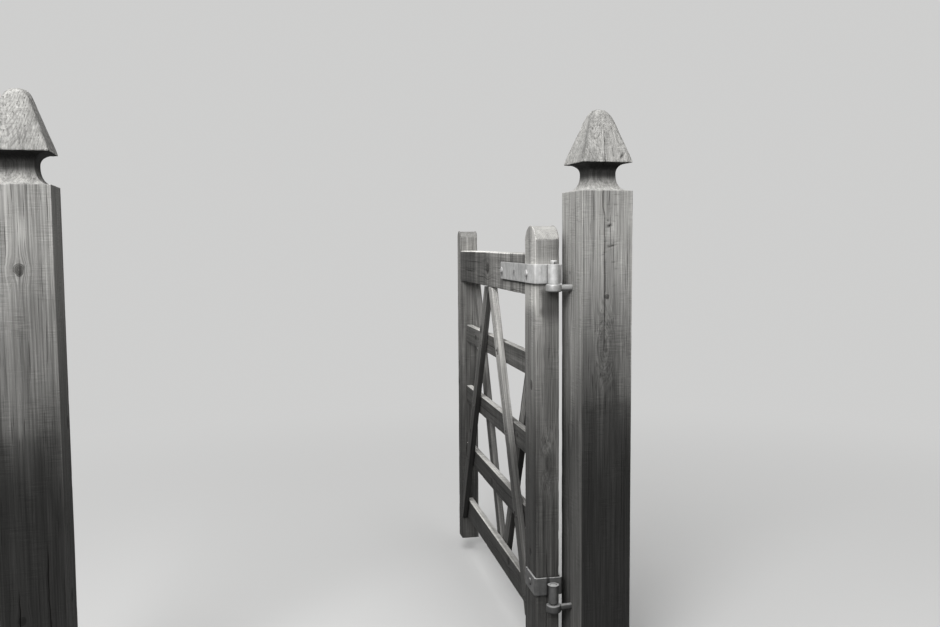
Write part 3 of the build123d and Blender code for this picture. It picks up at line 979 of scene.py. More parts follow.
def strap_path(front, back, edge, tips):
    """The middle line of a band round a stile: points and outward normals, from front tip to back tip."""
    legs = np.linspace(tips, edge + STRAP_BEND, 2 + int((tips - edge) / STRAP_COLUMN))
    legs = sorted([*legs, *(tips - distance for distance in STRAP_TIP_ROWS)], reverse=True)
    half = [(x, front, 0, 1) for x in legs]
    for turn in np.linspace(pi / 2, pi, STRAP_BEND_ROWS)[1:]:
        nx, ny = cos(turn), sin(turn)
        half.append((edge + STRAP_BEND * (1 + nx), front - STRAP_BEND * (1 - ny), nx, ny))
    depths = np.linspace(front - STRAP_BEND, back + STRAP_BEND, STRAP_SIDE_ROWS)[1:-1]
    side = [(edge, y, -1, 0) for y in depths]
    return half + side + [(x, front + back - y, nx, -ny) for x, y, nx, ny in reversed(half)]


def strap(edge, tips, low, high):
    """A band bent round the hanging stile, with rounded edges and rounded corners at its two tips."""
    half, half_height = STRAP_THICKNESS / 2, (high - low) / 2
    corners = [(half, -half_height), (half, half_height), (-half, half_height), (-half, -half_height)]
    loop = rounded_loop(corners, STRAP_EDGE)
    columns = divided([*loop, loop[0]], STRAP_COLUMN)[:-1]
    path = strap_path(HANGING_HIGH[1] + half, HANGING_LOW[1] - half, edge - half, tips)
    points = []
    for x, y, nx, ny in path:
        gap = min(tips - x, STRAP_TIP)
        cut = STRAP_TIP - sqrt(STRAP_TIP**2 - (STRAP_TIP - gap) ** 2)
        for across, up in columns:
            points.append((x + nx * across, y + ny * across, (low + high) / 2 + up * (1 - cut / half_height)))
    rows, count = len(path), len(columns)
    return np.array(points), ring_faces(rows, count) + end_faces(rows, count)


def web(inner, outer, half, low, high):
    """The metal between barrel and band, with a weld that flares at both ends."""
    shares = np.linspace(0, 1, WELD_ROWS)
    points = []
    for share in shares:
        x, y = inner + (outer - inner) * share, half + WELD_FLARE * abs(2 * share - 1) ** WELD_CURVE
        points += [(x, -y, low), (x, y, low), (x, y, high), (x, -y, high)]
    return np.array(points), ring_faces(len(shares), 4) + end_faces(len(shares), 4)


def cross_hole(x, z, radius=HOLE_RADIUS, reach=0.2):
    """A round tool along the leaf's thickness."""
    shape = revolve([(radius, -reach), (radius, reach)], sides=28)
    return placed(shape, Matrix.Translation((x, 0, z)) @ TO_FRONT)


def build_band(node, strap_span, barrel_span, barrel_radius, web_half, seed, slack=0.0, lip=False, holes=()):
    """A band hinge: the bent strap, its barrel and the welded metal between them, with its holes."""
    reach = leaf_box(node)[1][0]
    edge = HANGING_LOW[0] - slack
    wall_middle, top = (BORE_RADIUS + barrel_radius) / 2, barrel_span[1]
    web_low, web_high = max(strap_span[0], barrel_span[0]) + WEB_INSET, min(strap_span[1], top) - WEB_INSET
    parts = [
        strap(edge, reach, *strap_span),
        web(wall_middle, edge - STRAP_THICKNESS / 2, web_half, web_low, web_high),
        revolve(ring_outline(BORE_RADIUS, barrel_radius, *barrel_span, BARREL_EDGE), closed=True),
    ]
    if lip:
        outline = ring_outline(wall_middle, BARREL_RADIUS, top - BARREL_LIP, top - LIP_INSET, LIP_EDGE)
        parts.append(revolve(outline, closed=True))
    mesh = combine(parts, [cross_hole(x, sum(strap_span) / 2) for x in holes])
    show_metal(node + "_steel", mesh, ZINC, LEAF_PLACE, seed, node=node)


def build_hook(node, cotter):
    """A forged hook: a pin, the boss that carries the barrel, and the arm driven into the post."""
    low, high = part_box(node)
    pin = divided(rod_outline(PIN_RADIUS, low.z + PIN_START, high.z, PIN_EDGE), PIN_ROW)
    arm = [(ARM_RADIUS, x) for x in np.linspace(ARM_START, ARM_END - ARM_POINT_LENGTH, ARM_ROWS)]
    arm.append((ARM_POINT_RADIUS, ARM_END))
    parts = [
        revolve(rod_outline(BOSS_RADIUS, low.z, low.z + BOSS_HEIGHT, BOSS_EDGE, steps=5)),
        revolve(pin),
        placed(revolve(arm, sides=32), Matrix.Translation((0, 0, low.z + BOSS_HEIGHT / 2)) @ TO_X),
    ]
    cuts = [cross_hole(0, high.z - COTTER_FROM_END, COTTER_RADIUS, COTTER_REACH)] if cotter else []
    mesh = combine(parts, cuts)
    show_metal(node + "_steel", mesh, HOOK_ZINC, PIN_PLACE, HOOK_SEED, "posts", node)


def bolt_shape(tail):
    """A domed bolt along +Z, its head above zero and its threaded tail below."""
    turns = np.linspace(*DOME_TURNS, DOME_ROWS)
    dome = [(HEAD_RADIUS * cos(turn), HEAD_HEIGHT * sin(turn) ** DOME_CURVE) for turn in turns]
    profile = [(BOLT_RADIUS - 2 * THREAD_DEPTH, tail)]
    for k in range(2 * THREADS):
        profile.append((BOLT_RADIUS - THREAD_DEPTH * (k % 2), tail + THREAD_PITCH * (1 + k / 2)))
    profile += [(BOLT_RADIUS, SHANK_ROW), (BOLT_RADIUS, 0.0), (HEAD_RADIUS, 0.0), *dome]
    return revolve(profile, sides=36)


def nut_shape():
    """A hexagon nut along +Z from 0 to its height, with chamfered corners and a bore."""
    sides = 60
    folded = (np.linspace(0, 2 * pi, sides, endpoint=False) + pi / 6) % (pi / 3) - pi / 6
    hexagon = NUT_ACROSS / 2 / np.cos(folded)
    face = np.minimum(hexagon, NUT_ACROSS / 2 + FIT_GAP)
    bore = np.full(sides, BOLT_RADIUS + FIT_GAP)
    heights = (0.0, 0.0, NUT_CHAMFER, NUT_HEIGHT / 2, NUT_HEIGHT - NUT_CHAMFER, NUT_HEIGHT, NUT_HEIGHT)
    return lathe(np.array([bore, face, hexagon, hexagon, hexagon, face, bore]), heights, closed=True)


def build_bolts():
    """Each bolt through both legs of its band, and its nut at the back."""
    front, back = HANGING_HIGH[1] + STRAP_THICKNESS, HANGING_LOW[1] - STRAP_THICKNESS
    tail = back - NUT_HEIGHT - BOLT_TIP
    for bolt in ("top_bolt_near", "top_bolt_far", "bottom_bolt"):
        x, _, z = bolt_middle(bolt)
        nut = bolt.replace("bolt", "nut")
        bolt_place, nut_place = (Matrix.Translation((x, y, z)) for y in (front, back))
        shapes = [
            (bolt, placed(bolt_shape(tail - front), bolt_place @ TO_FRONT), BOLT_SEED),
            (nut, placed(nut_shape(), nut_place @ TO_BACK), NUT_SEED),
        ]
        for node, shape, seed in shapes:
            mesh = make_mesh(node, *shape)
            show_metal(node + "_steel", mesh, BOLT_ZINC, LEAF_PLACE, seed, node=node)


def bolt_middle(bolt):
    """The middle of a bolt's node, in the leaf's frame."""
    return sum(leaf_box(bolt)) / 2


# Materials

# Painted shade in the crease beside the barrel, and on the strap's front leg
CREASE_X, CREASE_Y = 0.015, 0.0115
STRAP_SHADE_X, STRAP_SHADE_REACH, STRAP_SHADE = 0.32, 0.29, 0.8


def band_stains_and_shadows():
    """Painted shadow and some dirt under the bolts' heads and by the spare hole, painted shade in the crease
    beside the barrel, and painted shade on the strap's front leg.
    """
    face, middle = HANGING_HIGH[1] + STRAP_THICKNESS, (TOP_BAND_LOW[2] + TOP_BAND_HIGH[2]) / 2
    bolts = [bolt_middle(bolt)[0] for bolt in ("top_bolt_near", "top_bolt_far")]
    stains_and_shading = [((x, face, middle - 0.008), (1, 1, 0.8), 0.0125, DIRT_AND_SHADOW_SHADE) for x in bolts]
    stains_and_shading += [
        ((SPARE_HOLE, face, middle - 0.004), (1, 1, 0.6), 0.008, DIRT_AND_SHADOW_SHADE),
        ((CREASE_X, CREASE_Y, middle), (1, 1, 0), 0.006, DIRT_AND_SHADOW_SHADE),
        ((STRAP_SHADE_X, face, middle), (1, 1, 0), STRAP_SHADE_REACH, STRAP_SHADE),
    ]
    return [(LEAF_PLACE @ Vector(centre), *rest) for centre, *rest in stains_and_shading]


POST_TIMBER = timber_material("post_timber", (0.225, 0.222, 0.212, 1), (0.40, 0.395, 0.38, 1))
STILE_TIMBER = timber_material("stile_timber", (0.2, 0.196, 0.187, 1), (0.37, 0.365, 0.35, 1))
# The rails' darker colours are partly damp, partly painted shade
RAIL_TIMBER = timber_material("rail_timber", (0.12, 0.118, 0.112, 1), (0.24, 0.236, 0.226, 1))
BRACE_TIMBER = timber_material("brace_timber", (0.19, 0.186, 0.178, 1), (0.37, 0.365, 0.35, 1))
PIN_TOPS = [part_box(hook)[1].z for hook in ("top_hook", "bottom_hook")]
# Painted light: the pins' ends are paler on top
PIN_ENDS = [((AXIS_X, AXIS_Y, top), (1, 1, 1), 0.013, 1.7) for top in PIN_TOPS]
BOLT_ZINC = zinc_material("bolt_steel", (0.55, 0.55, 0.545), 0.5)
NAIL_STEEL = zinc_material("nail_steel", (0.16, 0.155, 0.15), 0.6)
# The hooks' zinc is darker than the bands': partly grime, partly painted shade
HOOK_ZINC = zinc_material("hook_steel", (0.42, 0.42, 0.415), 0.55, PIN_ENDS)
ZINC = zinc_material("galvanised_steel", (0.62, 0.62, 0.615), 0.55, band_stains_and_shadows())


# Marks drawn by chance, the same in each run


def chance_cracks(faces, width, low, high, count, seed):
    """Drying cracks on the given faces."""
    cracks = []
    draw = random.Random(seed)
    for face in faces:
        for number in range(count):
            place = width * (-0.5 + (number + 0.5 + draw.uniform(-0.2, 0.2)) / count) * 0.8
            start = draw.uniform(low, high - 0.2)
            end = min(start + draw.uniform(0.15, 0.45), high)
            lean = draw.uniform(-0.04, 0.04) * width
            path = [(start, place), ((start + end) / 2, place + lean), (end, place + lean / 2)]
            crack_width, depth = draw.uniform(0.001, 0.002), draw.uniform(0.003, 0.006)
            cracks.append(Crack(face, path, crack_width, depth, seed * 10 + number))
    return cracks


def chance_knots(faces, width, low, high, count, seed):
    """Knots on the given faces."""
    draw = random.Random(seed)
    knots = []
    for face in faces:
        for _ in range(count):
            run, across = draw.uniform(low, high), draw.uniform(-0.3, 0.3) * width
            knots.append(Knot(face, run, across, draw.uniform(0.006, 0.012)))
    return knots


def torn_grain(face, span, width, count, seed):
    """Short cross-grain nicks where the saw tore the wood."""
    draw = random.Random(seed)
    nicks = []
    for _ in range(count):
        place = draw.uniform(*span), draw.uniform(*width)
        size = draw.uniform(0.001, 0.0016), draw.uniform(0.003, 0.008)
        lean, deep = draw.uniform(-0.25, 0.25), draw.uniform(0.25, 0.5)
        nicks.append(Scar(face, *place, *size, lean, deep))
    return nicks


# The posts' weather, marks and painted light and shade


def painted_cap_shade(skin):
    """Painted shade under the cap, and a painted highlight on the rim at the shaft's top."""
    above = skin.along - SHAFT_HEIGHT
    under = ramp(above, 0.21 * NECK_HEIGHT, 0.6 * NECK_HEIGHT) * (skin.along < NECK_TOP)
    rim = (1 - ramp(above, 0.003, 0.02)) * (above > -0.001)
    return (1 - 0.88 * under) * (1 + 0.22 * rim)


def cap_weather(skin):
    """The cap's arrises are worn dull, and a dark run follows the one between its left and front faces."""
    taper = (CAP_SIDE - CAP_SHOULDER_SIDE) / 2 / CAP_FLANK_HEIGHT
    half = CAP_SIDE / 2 - taper * (skin.along - LIP_TOP)
    cap = ramp(skin.along, LIP_TOP, LIP_TOP + 0.01)
    run = skin.on(LEFT) * bell(half - skin.place - 0.013, 0.01)
    return (1 - 0.42 * cap * run) * (1 - 0.3 * cap * bell(half - np.abs(skin.place), 0.004))


def post_painted_light_and_torn_grain(skin):
    """The front is darker further up than the left side, partly damp and partly painted shade; the left side
    is paler with painted light, the arrises of the shaft's front have painted highlights, and torn grain is
    paler.
    """
    along, place, half = skin.along, skin.place, POST_SIDE / 2
    front = skin.on(FRONT)
    arris = front * ramp(place, half - 0.009, half - 0.003)
    arris = arris + skin.on(RIGHT) * (1 - ramp(place, 0.004 - half, 0.008 - half))
    torn = front * bell(along - 1.287, 0.032) * bell(place - 0.011, 0.012)
    edge = along + 0.012 * face_noise(along, place, (0.3, 0.02), 91)
    edge += 0.006 * face_noise(along, place, (0.1, 0.004), 92)
    # Painted shade on the front, partly damp, and painted light on the left side
    tone = 1 - 0.27 * front * (1 - ramp(along, 1.02, 1.24)) - 0.2 * front * (1 - ramp(along, 0.6, 0.95))
    tone *= 1 - 0.3 * front * (1 - ramp(edge, 0.8, 0.84))
    tone = tone + skin.on(LEFT) * (0.1 + 0.5 * (1 - ramp(along, 0.6, 1.1)))
    # Painted highlights on the arrises, and paler torn grain
    return tone * (1 + (along < SHAFT_HEIGHT) * (0.5 * arris + 0.55 * torn))


POST_LOOK = {
    "tone": 1.1,
    "bleach": 0.1,
    "chips": 0.25,
    "damp_and_shade": (0.62, 1.3),
    "damp_and_shade_tone": 0.16,
    "patches": [painted_cap_shade, cap_weather, post_painted_light_and_torn_grain],
}


def build_posts():
    """The hanging post with the marks that show in the photo, and the latch post."""
    shaft_shake = [(0.93, -0.009), (1.12, -0.007), (1.325, -0.008), (1.35, -0.0135), (1.398, -0.0135)]
    cap_shake = [(1.462, -0.009), (1.5, -0.008), (1.545, -0.006)]
    shakes = [
        Crack(FRONT, shaft_shake, 0.0019, 0.008, seed=3, open_high=True),
        Crack(FRONT, cap_shake, 0.0016, 0.006, seed=4, open_low=True),
    ]
    scars = [
        Scar(FRONT, 1.298, 0.005, 0.003, 0.007, -0.2),
        Scar(FRONT, 1.301, 0.009, 0.002, 0.004, 0.5),
        Scar(FRONT, 1.313, 0.001, 0.0018, 0.003, 0.4),
        Scar(FRONT, 1.244, 0.012, 0.0016, 0.013, -0.25),
        Scar(FRONT, 1.489, 0.042, 0.009, 0.003, 0.7),
        Scar(LEFT, 1.115, -0.02, 0.003, 0.003),
        Scar(LEFT, 1.17, -0.015, 0.003, 0.003),
    ]
    scars += torn_grain(FRONT, (1.31, 1.385), (0.0, 0.03), 9, 5)
    scars += torn_grain(FRONT, (1.12, 1.29), (-0.02, 0.03), 9, 6)
    build_post(
        "hanging_post",
        spacing=0.003,
        step=0.006,
        lean=CAP_LEAN,
        seed=21,
        pith=(0.012, -0.02),
        streaks=0.65,
        knots=[Knot(FRONT, 1.106, 0.0, 0.0055), *chance_knots((RIGHT, REAR), POST_SIDE, 0.3, 1.3, 2, 31)],
        cracks=shakes + chance_cracks((RIGHT, REAR, LEFT), POST_SIDE, 0.2, 1.38, 2, 41),
        scars=scars,
        swells=[Swell(FRONT, 0.97, -0.006, 0.07, 0.022, 0.03), Swell(FRONT, 1.56, 0.006, 0.05, 0.03, 0.03)],
        **POST_LOOK,
    )
    build_post(
        "latch_post",
        spacing=0.0036,
        step=0.007,
        lean=0.0,
        seed=57,
        pith=(-0.02, 0.015),
        streaks=0.8,
        knots=chance_knots(range(4), POST_SIDE, 0.3, 1.3, 2, 32),
        cracks=chance_cracks(range(4), POST_SIDE, 0.2, 1.38, 2, 42),
        **POST_LOOK,
    )


# The leaf's weather, marks and painted light and shade


def hinge_stain_and_shade(skin):
    """The hanging stile beside the strap: dark runs on its outer edge, partly stain and partly painted shade,
    a front painted paler from a little below the strap up, painted shade on the outer edge above the strap,
    and the strap's shadow and dirt below it.
    """
    place = skin.place + 0.006 * face_noise(skin.along, skin.place, (0.09, 1), 83)
    place += 0.003 * face_noise(skin.along, skin.place, (0.02, 1), 84)
    above = skin.along - TOP_BAND_LOW[2]
    # Dark runs on the outer edge: partly stain, partly painted shade
    run = (1 - ramp(above, -0.028, -0.002)) * (0.3 + 0.7 * ramp(above, -0.13, -0.075))
    run = run * (1 - ramp(place, 0.006, 0.02))
    # Painted light on the front, and painted shade on the outer edge above the strap
    tone = (1 - 0.66 * skin.on(LEFT) * run) * (1 + 0.8 * skin.on(FRONT) * ramp(above, -0.1, -0.045))
    tone *= 1 - 0.25 * skin.on(LEFT) * ramp(above, 0.06, 0.08)
    return tone * (1 - 0.75 * under_strap(skin.along) * skin.on(LEFT, FRONT))


def low_front(skin):
    """The stiles' front faces are darker towards the ground: painted shade."""
    return 1 - 0.5 * skin.on(FRONT) * (1 - ramp(skin.along, 0.6, 1.0))


def under_strap(height):
    """1 in the narrow shadow and dirt just below the top strap."""
    above = height - TOP_BAND_LOW[2]
    return ramp(above, -0.012, -0.003) * (above < 0)


def rail_face(skin):
    """The top rail: rain stains, darker to the latch end, a painted highlight on its upper arris, and dark
    lines round the strap that are partly dirt and partly painted shadow.
    """
    along, place = skin.along, skin.place
    tip, _, strap_high = TOP_BAND_HIGH
    height = (TOP_RAIL_LOW[2] + TOP_RAIL_HIGH[2]) / 2 + np.where(skin.on(FRONT), place, -place)
    runs = face_noise(along, place, (0.05, 0.3), 88) + 0.5 * face_noise(along, place, (0.02, 0.2), 89)
    faces = skin.on(FRONT, REAR)
    tone = np.where(faces, (1.3 - 0.8 * ramp(along, 0.4, 1.0)) * (1 + 0.3 * runs), 1.0)
    # Painted highlight on the upper arris
    tone *= 1 + 1.6 * faces * ramp(height, TOP_RAIL_HIGH[2] - 0.006, TOP_RAIL_HIGH[2] - 0.001)
    # Dark lines beside the strap's tip, above it and below it: partly dirt, partly painted shadow
    tone *= 1 - 0.5 * faces * bell(along - tip - 0.004, 0.003) * (height < strap_high)
    tone *= 1 + 0.15 * faces * (1 - ramp(along, tip - 0.002, tip + 0.002))
    tone *= 1 - 0.5 * faces * (along < tip) * bell(height - strap_high - 0.003, 0.002)
    return tone * (1 - 0.8 * faces * under_strap(height) * (along < tip))


def rail_top(skin):
    """The rails' upper sides are paler, most of all towards the latch end: partly sun bleaching, partly
    painted light.
    """
    return np.where(skin.on(RIGHT), 0.75 + 0.85 * ramp(skin.along, 0.25, 1.0), 1.0)


def painted_rail_shadow(skin):
    """The stile just under the top rail is darker: painted shadow of the rail."""
    above = skin.along - TOP_RAIL_LOW[2]
    return 1 - 0.6 * ramp(above, -0.09, -0.02) * (above < 0) * skin.on(RIGHT)


def painted_head_shadow(reach):
    """Painted shadow of the top rail on a brace's head, down to the given reach."""
    return lambda skin: 1 - 0.6 * ramp(skin.along, skin.along.max() - reach, skin.along.max())


def low_half(fall):
    """A brace is darker below its middle by the given share: painted shade."""
    return lambda skin: 1 - fall * (1 - ramp(skin.along, -0.12, 0.12))


def brace_faces(skin):
    """A brace's broad faces are paler than its edges: painted light on the faces and painted shade on the
    edges.
    """
    return np.where(skin.on(FRONT, REAR), 1.12, 0.85)


# The leaf's timber

UP_LEAF = [(0, 0, 1), (1, 0, 0), (0, 1, 0)]
ALONG_LEAF = [(1, 0, 0), (0, 0, 1), (0, 1, 0)]
BAY_MIDDLE = (HANGING_HIGH[0] + LATCH_LOW[0]) / 2
BRACE_WIDTH = 0.054

# Each brace: its name, its half of the leaf (-1 at the hinges), whether it is in front, its tone, which
# paints in how much light falls on it, how far down its head is painted in the top rail's shadow and how much
# painted shade darkens its lower half
BRACES = [
    ("front_brace_hinge_side", -1, True, 1.7, 0.02, 0.65),
    ("front_brace_latch_side", 1, True, 0.7, 0.07, 0.1),
    ("back_brace_hinge_side", -1, False, 0.9, 0.07, 0.1),
    ("back_brace_latch_side", 1, False, 0.9, 0.07, 0.1),
]


def build_stile(node, arch_rise, **look):
    """A stile whose top is an arch of the given rise."""
    low, high = leaf_box(node)
    width, thickness = (high - low)[:2]
    radius = (width**2 / 4 + arch_rise**2) / (2 * arch_rise)

    def ends(across):
        return np.full(across.shape, low[2]), high[2] - radius + np.sqrt(radius**2 - across**2)

    spec = Board(node + "_timber", UP_LEAF, origin=(*(low + high)[:2] / 2, 0), **look)
    mesh = straight_board(spec, width, thickness, ends)
    show(spec.name, mesh, STILE_TIMBER, "leaf", node)


def build_rail(node, span, step=0.006, **look):
    """A rail between the given ends, at its node's height and thickness."""
    low, high = leaf_box(node)

    def ends(across):
        return np.full(across.shape, span[0]), np.full(across.shape, span[1])

    spec = Board(node + "_timber", ALONG_LEAF, origin=(0, *(low + high)[1:] / 2), **look)
    mesh = straight_board(spec, high[2] - low[2], high[1] - low[1], ends, step)
    show(spec.name, mesh, RAIL_TIMBER, "leaf", node)


def inner_edge(side):
    """Where the stile on that half of the leaf ends, inwards."""
    return LATCH_LOW[0] if side > 0 else HANGING_HIGH[0]


def brace_line(side, rising):
    """The middle line of a brace: its foot and its head, as places along and up the leaf."""
    top, foot = TOP_RAIL_LOW[2], (FOOT_RAIL_LOW[2] + FOOT_RAIL_HIGH[2]) / 2
    inner = inner_edge(side)
    run, fall = abs(inner - BAY_MIDDLE), top - foot
    half_cut = side * BRACE_WIDTH / 2 * hypot(run, fall) / fall
    if rising:
        return np.array([(inner, foot), (BAY_MIDDLE + half_cut, top)])
    return np.array([(BAY_MIDDLE + half_cut, foot), (inner - half_cut, top)])


def build_brace(node, side, rising, **look):
    """A brace leaning across half the leaf, cut square to the bay it fills."""
    low, high = leaf_box(node)
    foot, head = brace_line(side, rising)
    middle, direction = (foot + head) / 2, (head - foot) / hypot(*(head - foot))
    across_axis = np.array((direction[1], -direction[0]))
    bay = np.array([sorted((inner_edge(side), BAY_MIDDLE)), (FOOT_RAIL_LOW[2], TOP_RAIL_LOW[2])])

    def ends(across):
        """Where a line along the brace, at each place across it, enters and leaves the bay."""
        starts = middle[:, None] + across_axis[:, None] * across
        hits = (bay[:, :, None] - starts[:, None]) / direction[:, None, None]
        return hits.min(axis=1).max(axis=0), hits.max(axis=1).min(axis=0)

    axes = [(direction[0], 0, direction[1]), (across_axis[0], 0, across_axis[1]), (0, 1, 0)]
    spec = Board(node + "_timber", axes, origin=(middle[0], (low[1] + high[1]) / 2, middle[1]), **look)
    mesh = straight_board(spec, BRACE_WIDTH, high[1] - low[1], ends)
    show(spec.name, mesh, BRACE_TIMBER, "leaf", node)


def build_nails():
    """Two nails where each brace crosses a rail, as one mesh on the side that the brace is on."""
    dome = [(NAIL_RADIUS * cos(a), NAIL_HEIGHT * sin(a)) for a in np.linspace(0, NAIL_DOME_TURN, 5)]
    head_points, head_faces = revolve([(NAIL_RADIUS, -NAIL_SINK), *dome], sides=14)
    points, faces = [], []
    for brace, side, rising, *_ in BRACES:
        (foot_x, foot_z), (head_x, head_z) = brace_line(side, rising)
        low, high = leaf_box(brace)
        face, turn = (high[1], TO_FRONT) if rising else (low[1], TO_BACK)
        for rail in LOWER_RAILS:
            z = sum(leaf_box(rail))[2] / 2 + (NAIL_SPREAD if rail == "bottom_rail" else 0)
            x = foot_x + (head_x - foot_x) * (z - foot_z) / (head_z - foot_z)
            for sign in (-1, 1):
                spot = Matrix.Translation((x + sign * NAIL_SPREAD, face, z + sign * NAIL_SPREAD * NAIL_SLANT))
                start = len(points) * len(head_points)
                faces += [tuple(start + k for k in loop) for loop in head_faces]
                points.append(move(head_points, spot @ turn))
    mesh = make_mesh("brace_nails", np.concatenate(points), faces)
    show_metal("brace_nails", mesh, NAIL_STEEL, LEAF_PLACE, NAIL_SEED)


def build_leaf():
    """The leaf's stiles, rails, braces and nails."""
    depth = HANGING_HIGH[1] - HANGING_LOW[1]
    build_stile(
        "hanging_stile",
        arch_rise=0.040,
        seed=33,
        streaks=1.5,
        knots=chance_knots((FRONT, REAR), depth, 0.15, 1.0, 2, 51),
        swells=[Swell(LEFT, 0.63, 0.0, 0.06, 0.016, 0.03)],
        cracks=chance_cracks((FRONT, REAR, LEFT), depth, 0.1, 1.08, 1, 52),
        patches=[hinge_stain_and_shade, low_front],
    )
    build_stile(
        "latch_stile",
        arch_rise=0.025,
        seed=35,
        streaks=1.6,
        bleach=0.2,
        knots=chance_knots((FRONT, REAR), depth, 0.2, 1.0, 2, 53),
        cracks=chance_cracks(range(4), depth, 0.1, 1.08, 1, 54),
        patches=[painted_rail_shadow, low_front],
    )
    build_rail(
        "top_rail",
        (HANGING_HIGH[0], LATCH_LOW[0]),
        step=0.003,
        seed=41,
        streaks=0.35,
        wash=1.0,
        bleach=2.6,
        knots=[Knot(FRONT, 0.655, 0.004, 0.017), Knot(REAR, 0.4, 0.01, 0.013)],
        cracks=chance_cracks((FRONT, REAR), TOP_RAIL_HIGH[2] - TOP_RAIL_LOW[2], 0.2, 1.1, 1, 55),
        patches=[rail_face, rail_top],
    )
    for number, rail in enumerate(LOWER_RAILS):
        low, high = leaf_box(rail)
        build_rail(
            rail,
            (low[0], high[0]),
            seed=43 + 2 * number,
            # Each rail lower down is darker: partly damp, partly painted shade
            tone=0.85 - 0.06 * number,
            wash=0.45,
            bleach=2.4,
            knots=chance_knots((FRONT, REAR), high[2] - low[2], 0.3, 1.0, 1, 56 + number),
            cracks=chance_cracks((FRONT, REAR), high[2] - low[2], 0.2, 1.1, 1, 60 + number),
            patches=[rail_top],
        )
    for number, (brace, side, rising, tone, reach, fall) in enumerate(BRACES):
        build_brace(
            brace,
            side,
            rising,
            seed=61 + 2 * number,
            tone=tone,
            streaks=1.4,
            knots=chance_knots((FRONT, REAR), BRACE_WIDTH, -0.35, 0.35, 2, 70 + number),
            cracks=chance_cracks((FRONT, REAR), BRACE_WIDTH, -0.4, 0.35, 1, 74 + number),
            patches=[painted_head_shadow(reach), low_half(fall), brace_faces],
        )
    build_nails()


def build_metal():
    """The two bands, the two hooks that carry them, and the bolts with their nuts."""
    top_span = (TOP_BAND_LOW[2], TOP_BAND_HIGH[2])
    bottom_span = (BOTTOM_BAND_HIGH[2] - BOTTOM_STRAP_HEIGHT, BOTTOM_BAND_HIGH[2])
    barrel_span = (BOTTOM_BAND_LOW[2], BOTTOM_BAND_LOW[2] + BOTTOM_BARREL_HEIGHT)
    top_sizes = (top_span, top_span, BARREL_RADIUS, TOP_WEB_HALF)
    bottom_sizes = (bottom_span, barrel_span, BOTTOM_BARREL_RADIUS, BOTTOM_WEB_HALF)
    build_band("top_band", *top_sizes, TOP_BAND_SEED, holes=[SPARE_HOLE])
    build_band("bottom_band", *bottom_sizes, BOTTOM_BAND_SEED, slack=BOTTOM_STRAP_SLACK, lip=True)
    build_hook("top_hook", cotter=True)
    build_hook("bottom_hook", cotter=False)
    build_bolts()


build_posts()
build_leaf()
build_metal()

# The stage: a pale floor that fades into a pale surround, lit from above and from the front

SURROUND = (0.62, 0.62, 0.615, 1)
FLOOR_SIZE = 60.0
FLOOR_BOUNCE = (0.13, 0.13, 0.128, 1)
FLOOR_SHEEN = {"Roughness": 0.9, "Specular IOR Level": 0.1}
FADE_NEAR = 1.0
FADE_FAR = 4.5
SKY_DIRECTION = (-0.5, -0.4, 0.77)
SKY_SPAN = (0.0, 0.8)
SKY_STRENGTH = (0.03, 1.0)

# Each lamp: its name, its place, the spot it points at, its width and its power
LAMPS = [
    ("sky_lamp", (-0.6, -0.9, 4.8), (-0.3, 0.3, 0.8), 3.4, 60),
    ("front_lamp", (-3.4, -3.8, 4.0), (-0.2, 0.2, 0.9), 3.0, 210),
]

EYE = (-1.0509, -2.3637, 1.254)
YAW, PITCH, ROLL = radians(16.084), radians(4.40), radians(-0.36)
LENS = 35.0
SENSOR_WIDTH = 36.0


def camera_share(s):
    """1 for rays from the camera and for reflected and refracted rays, 0 for scattered light."""
    path = s.add("ShaderNodeLightPath", {}).outputs
    seen = s.math("MAXIMUM", path["Is Camera Ray"], path["Is Glossy Ray"])
    return s.math("MAXIMUM", seen, path["Is Transmission Ray"])


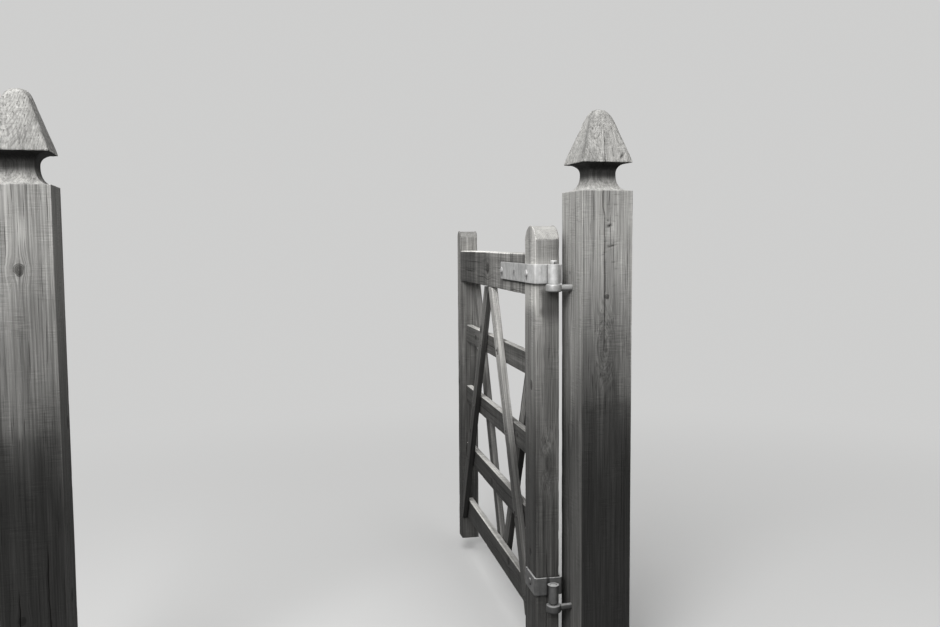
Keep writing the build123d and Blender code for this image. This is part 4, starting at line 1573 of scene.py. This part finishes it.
def build_floor():
    """A floor that looks pale to the eye, throws back little light and fades out with distance."""
    half = FLOOR_SIZE / 2
    corners = np.array([(-half, -half, 0), (half, -half, 0), (half, half, 0), (-half, half, 0)])
    floor = add_object("floor", make_mesh("floor", corners, [(0, 1, 2, 3)]))
    material = bpy.data.materials.new("floor")
    s = Shader(material)
    seen = camera_share(s)
    s.feed_all(s.surface, {"Base Color": s.mix(seen, FLOOR_BOUNCE, SURROUND), **FLOOR_SHEEN})
    far = s.vector("LENGTH", s.add("ShaderNodeTexCoord", {}).outputs["Object"], output="Value")
    fade = s.times(s.rise(far, FADE_NEAR, FADE_FAR), seen)
    glow = s.add("ShaderNodeEmission", {"Color": SURROUND, "Strength": 1.0}).outputs[0]
    blend = s.add("ShaderNodeMixShader", {0: fade, 1: s.surface.outputs[0], 2: glow})
    output = next(n for n in s.tree.nodes if n.type == "OUTPUT_MATERIAL")
    s.feed(output.inputs["Surface"], blend.outputs[0])
    floor.data.materials.append(material)


def build_world():
    """A pale surround to the eye, and a soft sky that is brightest above and in front."""
    world = bpy.data.worlds.new("studio")
    bpy.context.scene.world = world
    s = Shader(world)
    background = s.tree.nodes["Background"]
    direction = s.add("ShaderNodeTexCoord", {}).outputs["Generated"]
    facing = s.vector("DOT_PRODUCT", direction, SKY_DIRECTION, output="Value")
    sky = s.rise(facing, *SKY_SPAN, *SKY_STRENGTH)
    seen = camera_share(s)
    strength = s.add("ShaderNodeMix", {0: seen, 2: sky, 3: 1.0}, data_type="FLOAT").outputs[0]
    s.feed(background.inputs["Color"], s.mix(seen, (1, 1, 1, 1), SURROUND))
    s.feed(background.inputs["Strength"], strength)


def build_lamp(name, place, target, width, power):
    """A round, soft lamp that points at its target."""
    light = bpy.data.lights.new(name, "AREA")
    light.shape = "DISK"
    light.size = width
    light.energy = power
    lamp = add_object(name, light)
    lamp.location = place
    lamp.rotation_euler = (Vector(target) - Vector(place)).to_track_quat("-Z", "Y").to_euler()


def build_camera():
    """The photograph's viewpoint: eye height beside the post, looking a little down."""
    camera = bpy.data.cameras.new("camera")
    camera.lens = LENS
    camera.sensor_width = SENSOR_WIDTH
    camera.clip_end = 200.0
    eye = add_object("camera", camera)
    forward = Vector((sin(YAW) * cos(PITCH), cos(YAW) * cos(PITCH), -sin(PITCH)))
    right = Vector((cos(YAW), -sin(YAW), 0))
    up = right.cross(forward)
    right, up = right * cos(ROLL) + up * sin(ROLL), up * cos(ROLL) - right * sin(ROLL)
    turn = Matrix((right, up, -forward)).transposed().to_4x4()
    eye.matrix_world = Matrix.Translation(EYE) @ turn
    bpy.context.scene.camera = eye


build_floor()
build_world()
for lamp in LAMPS:
    build_lamp(*lamp)
build_camera()

bpy.context.scene.view_settings.view_transform = "Standard"
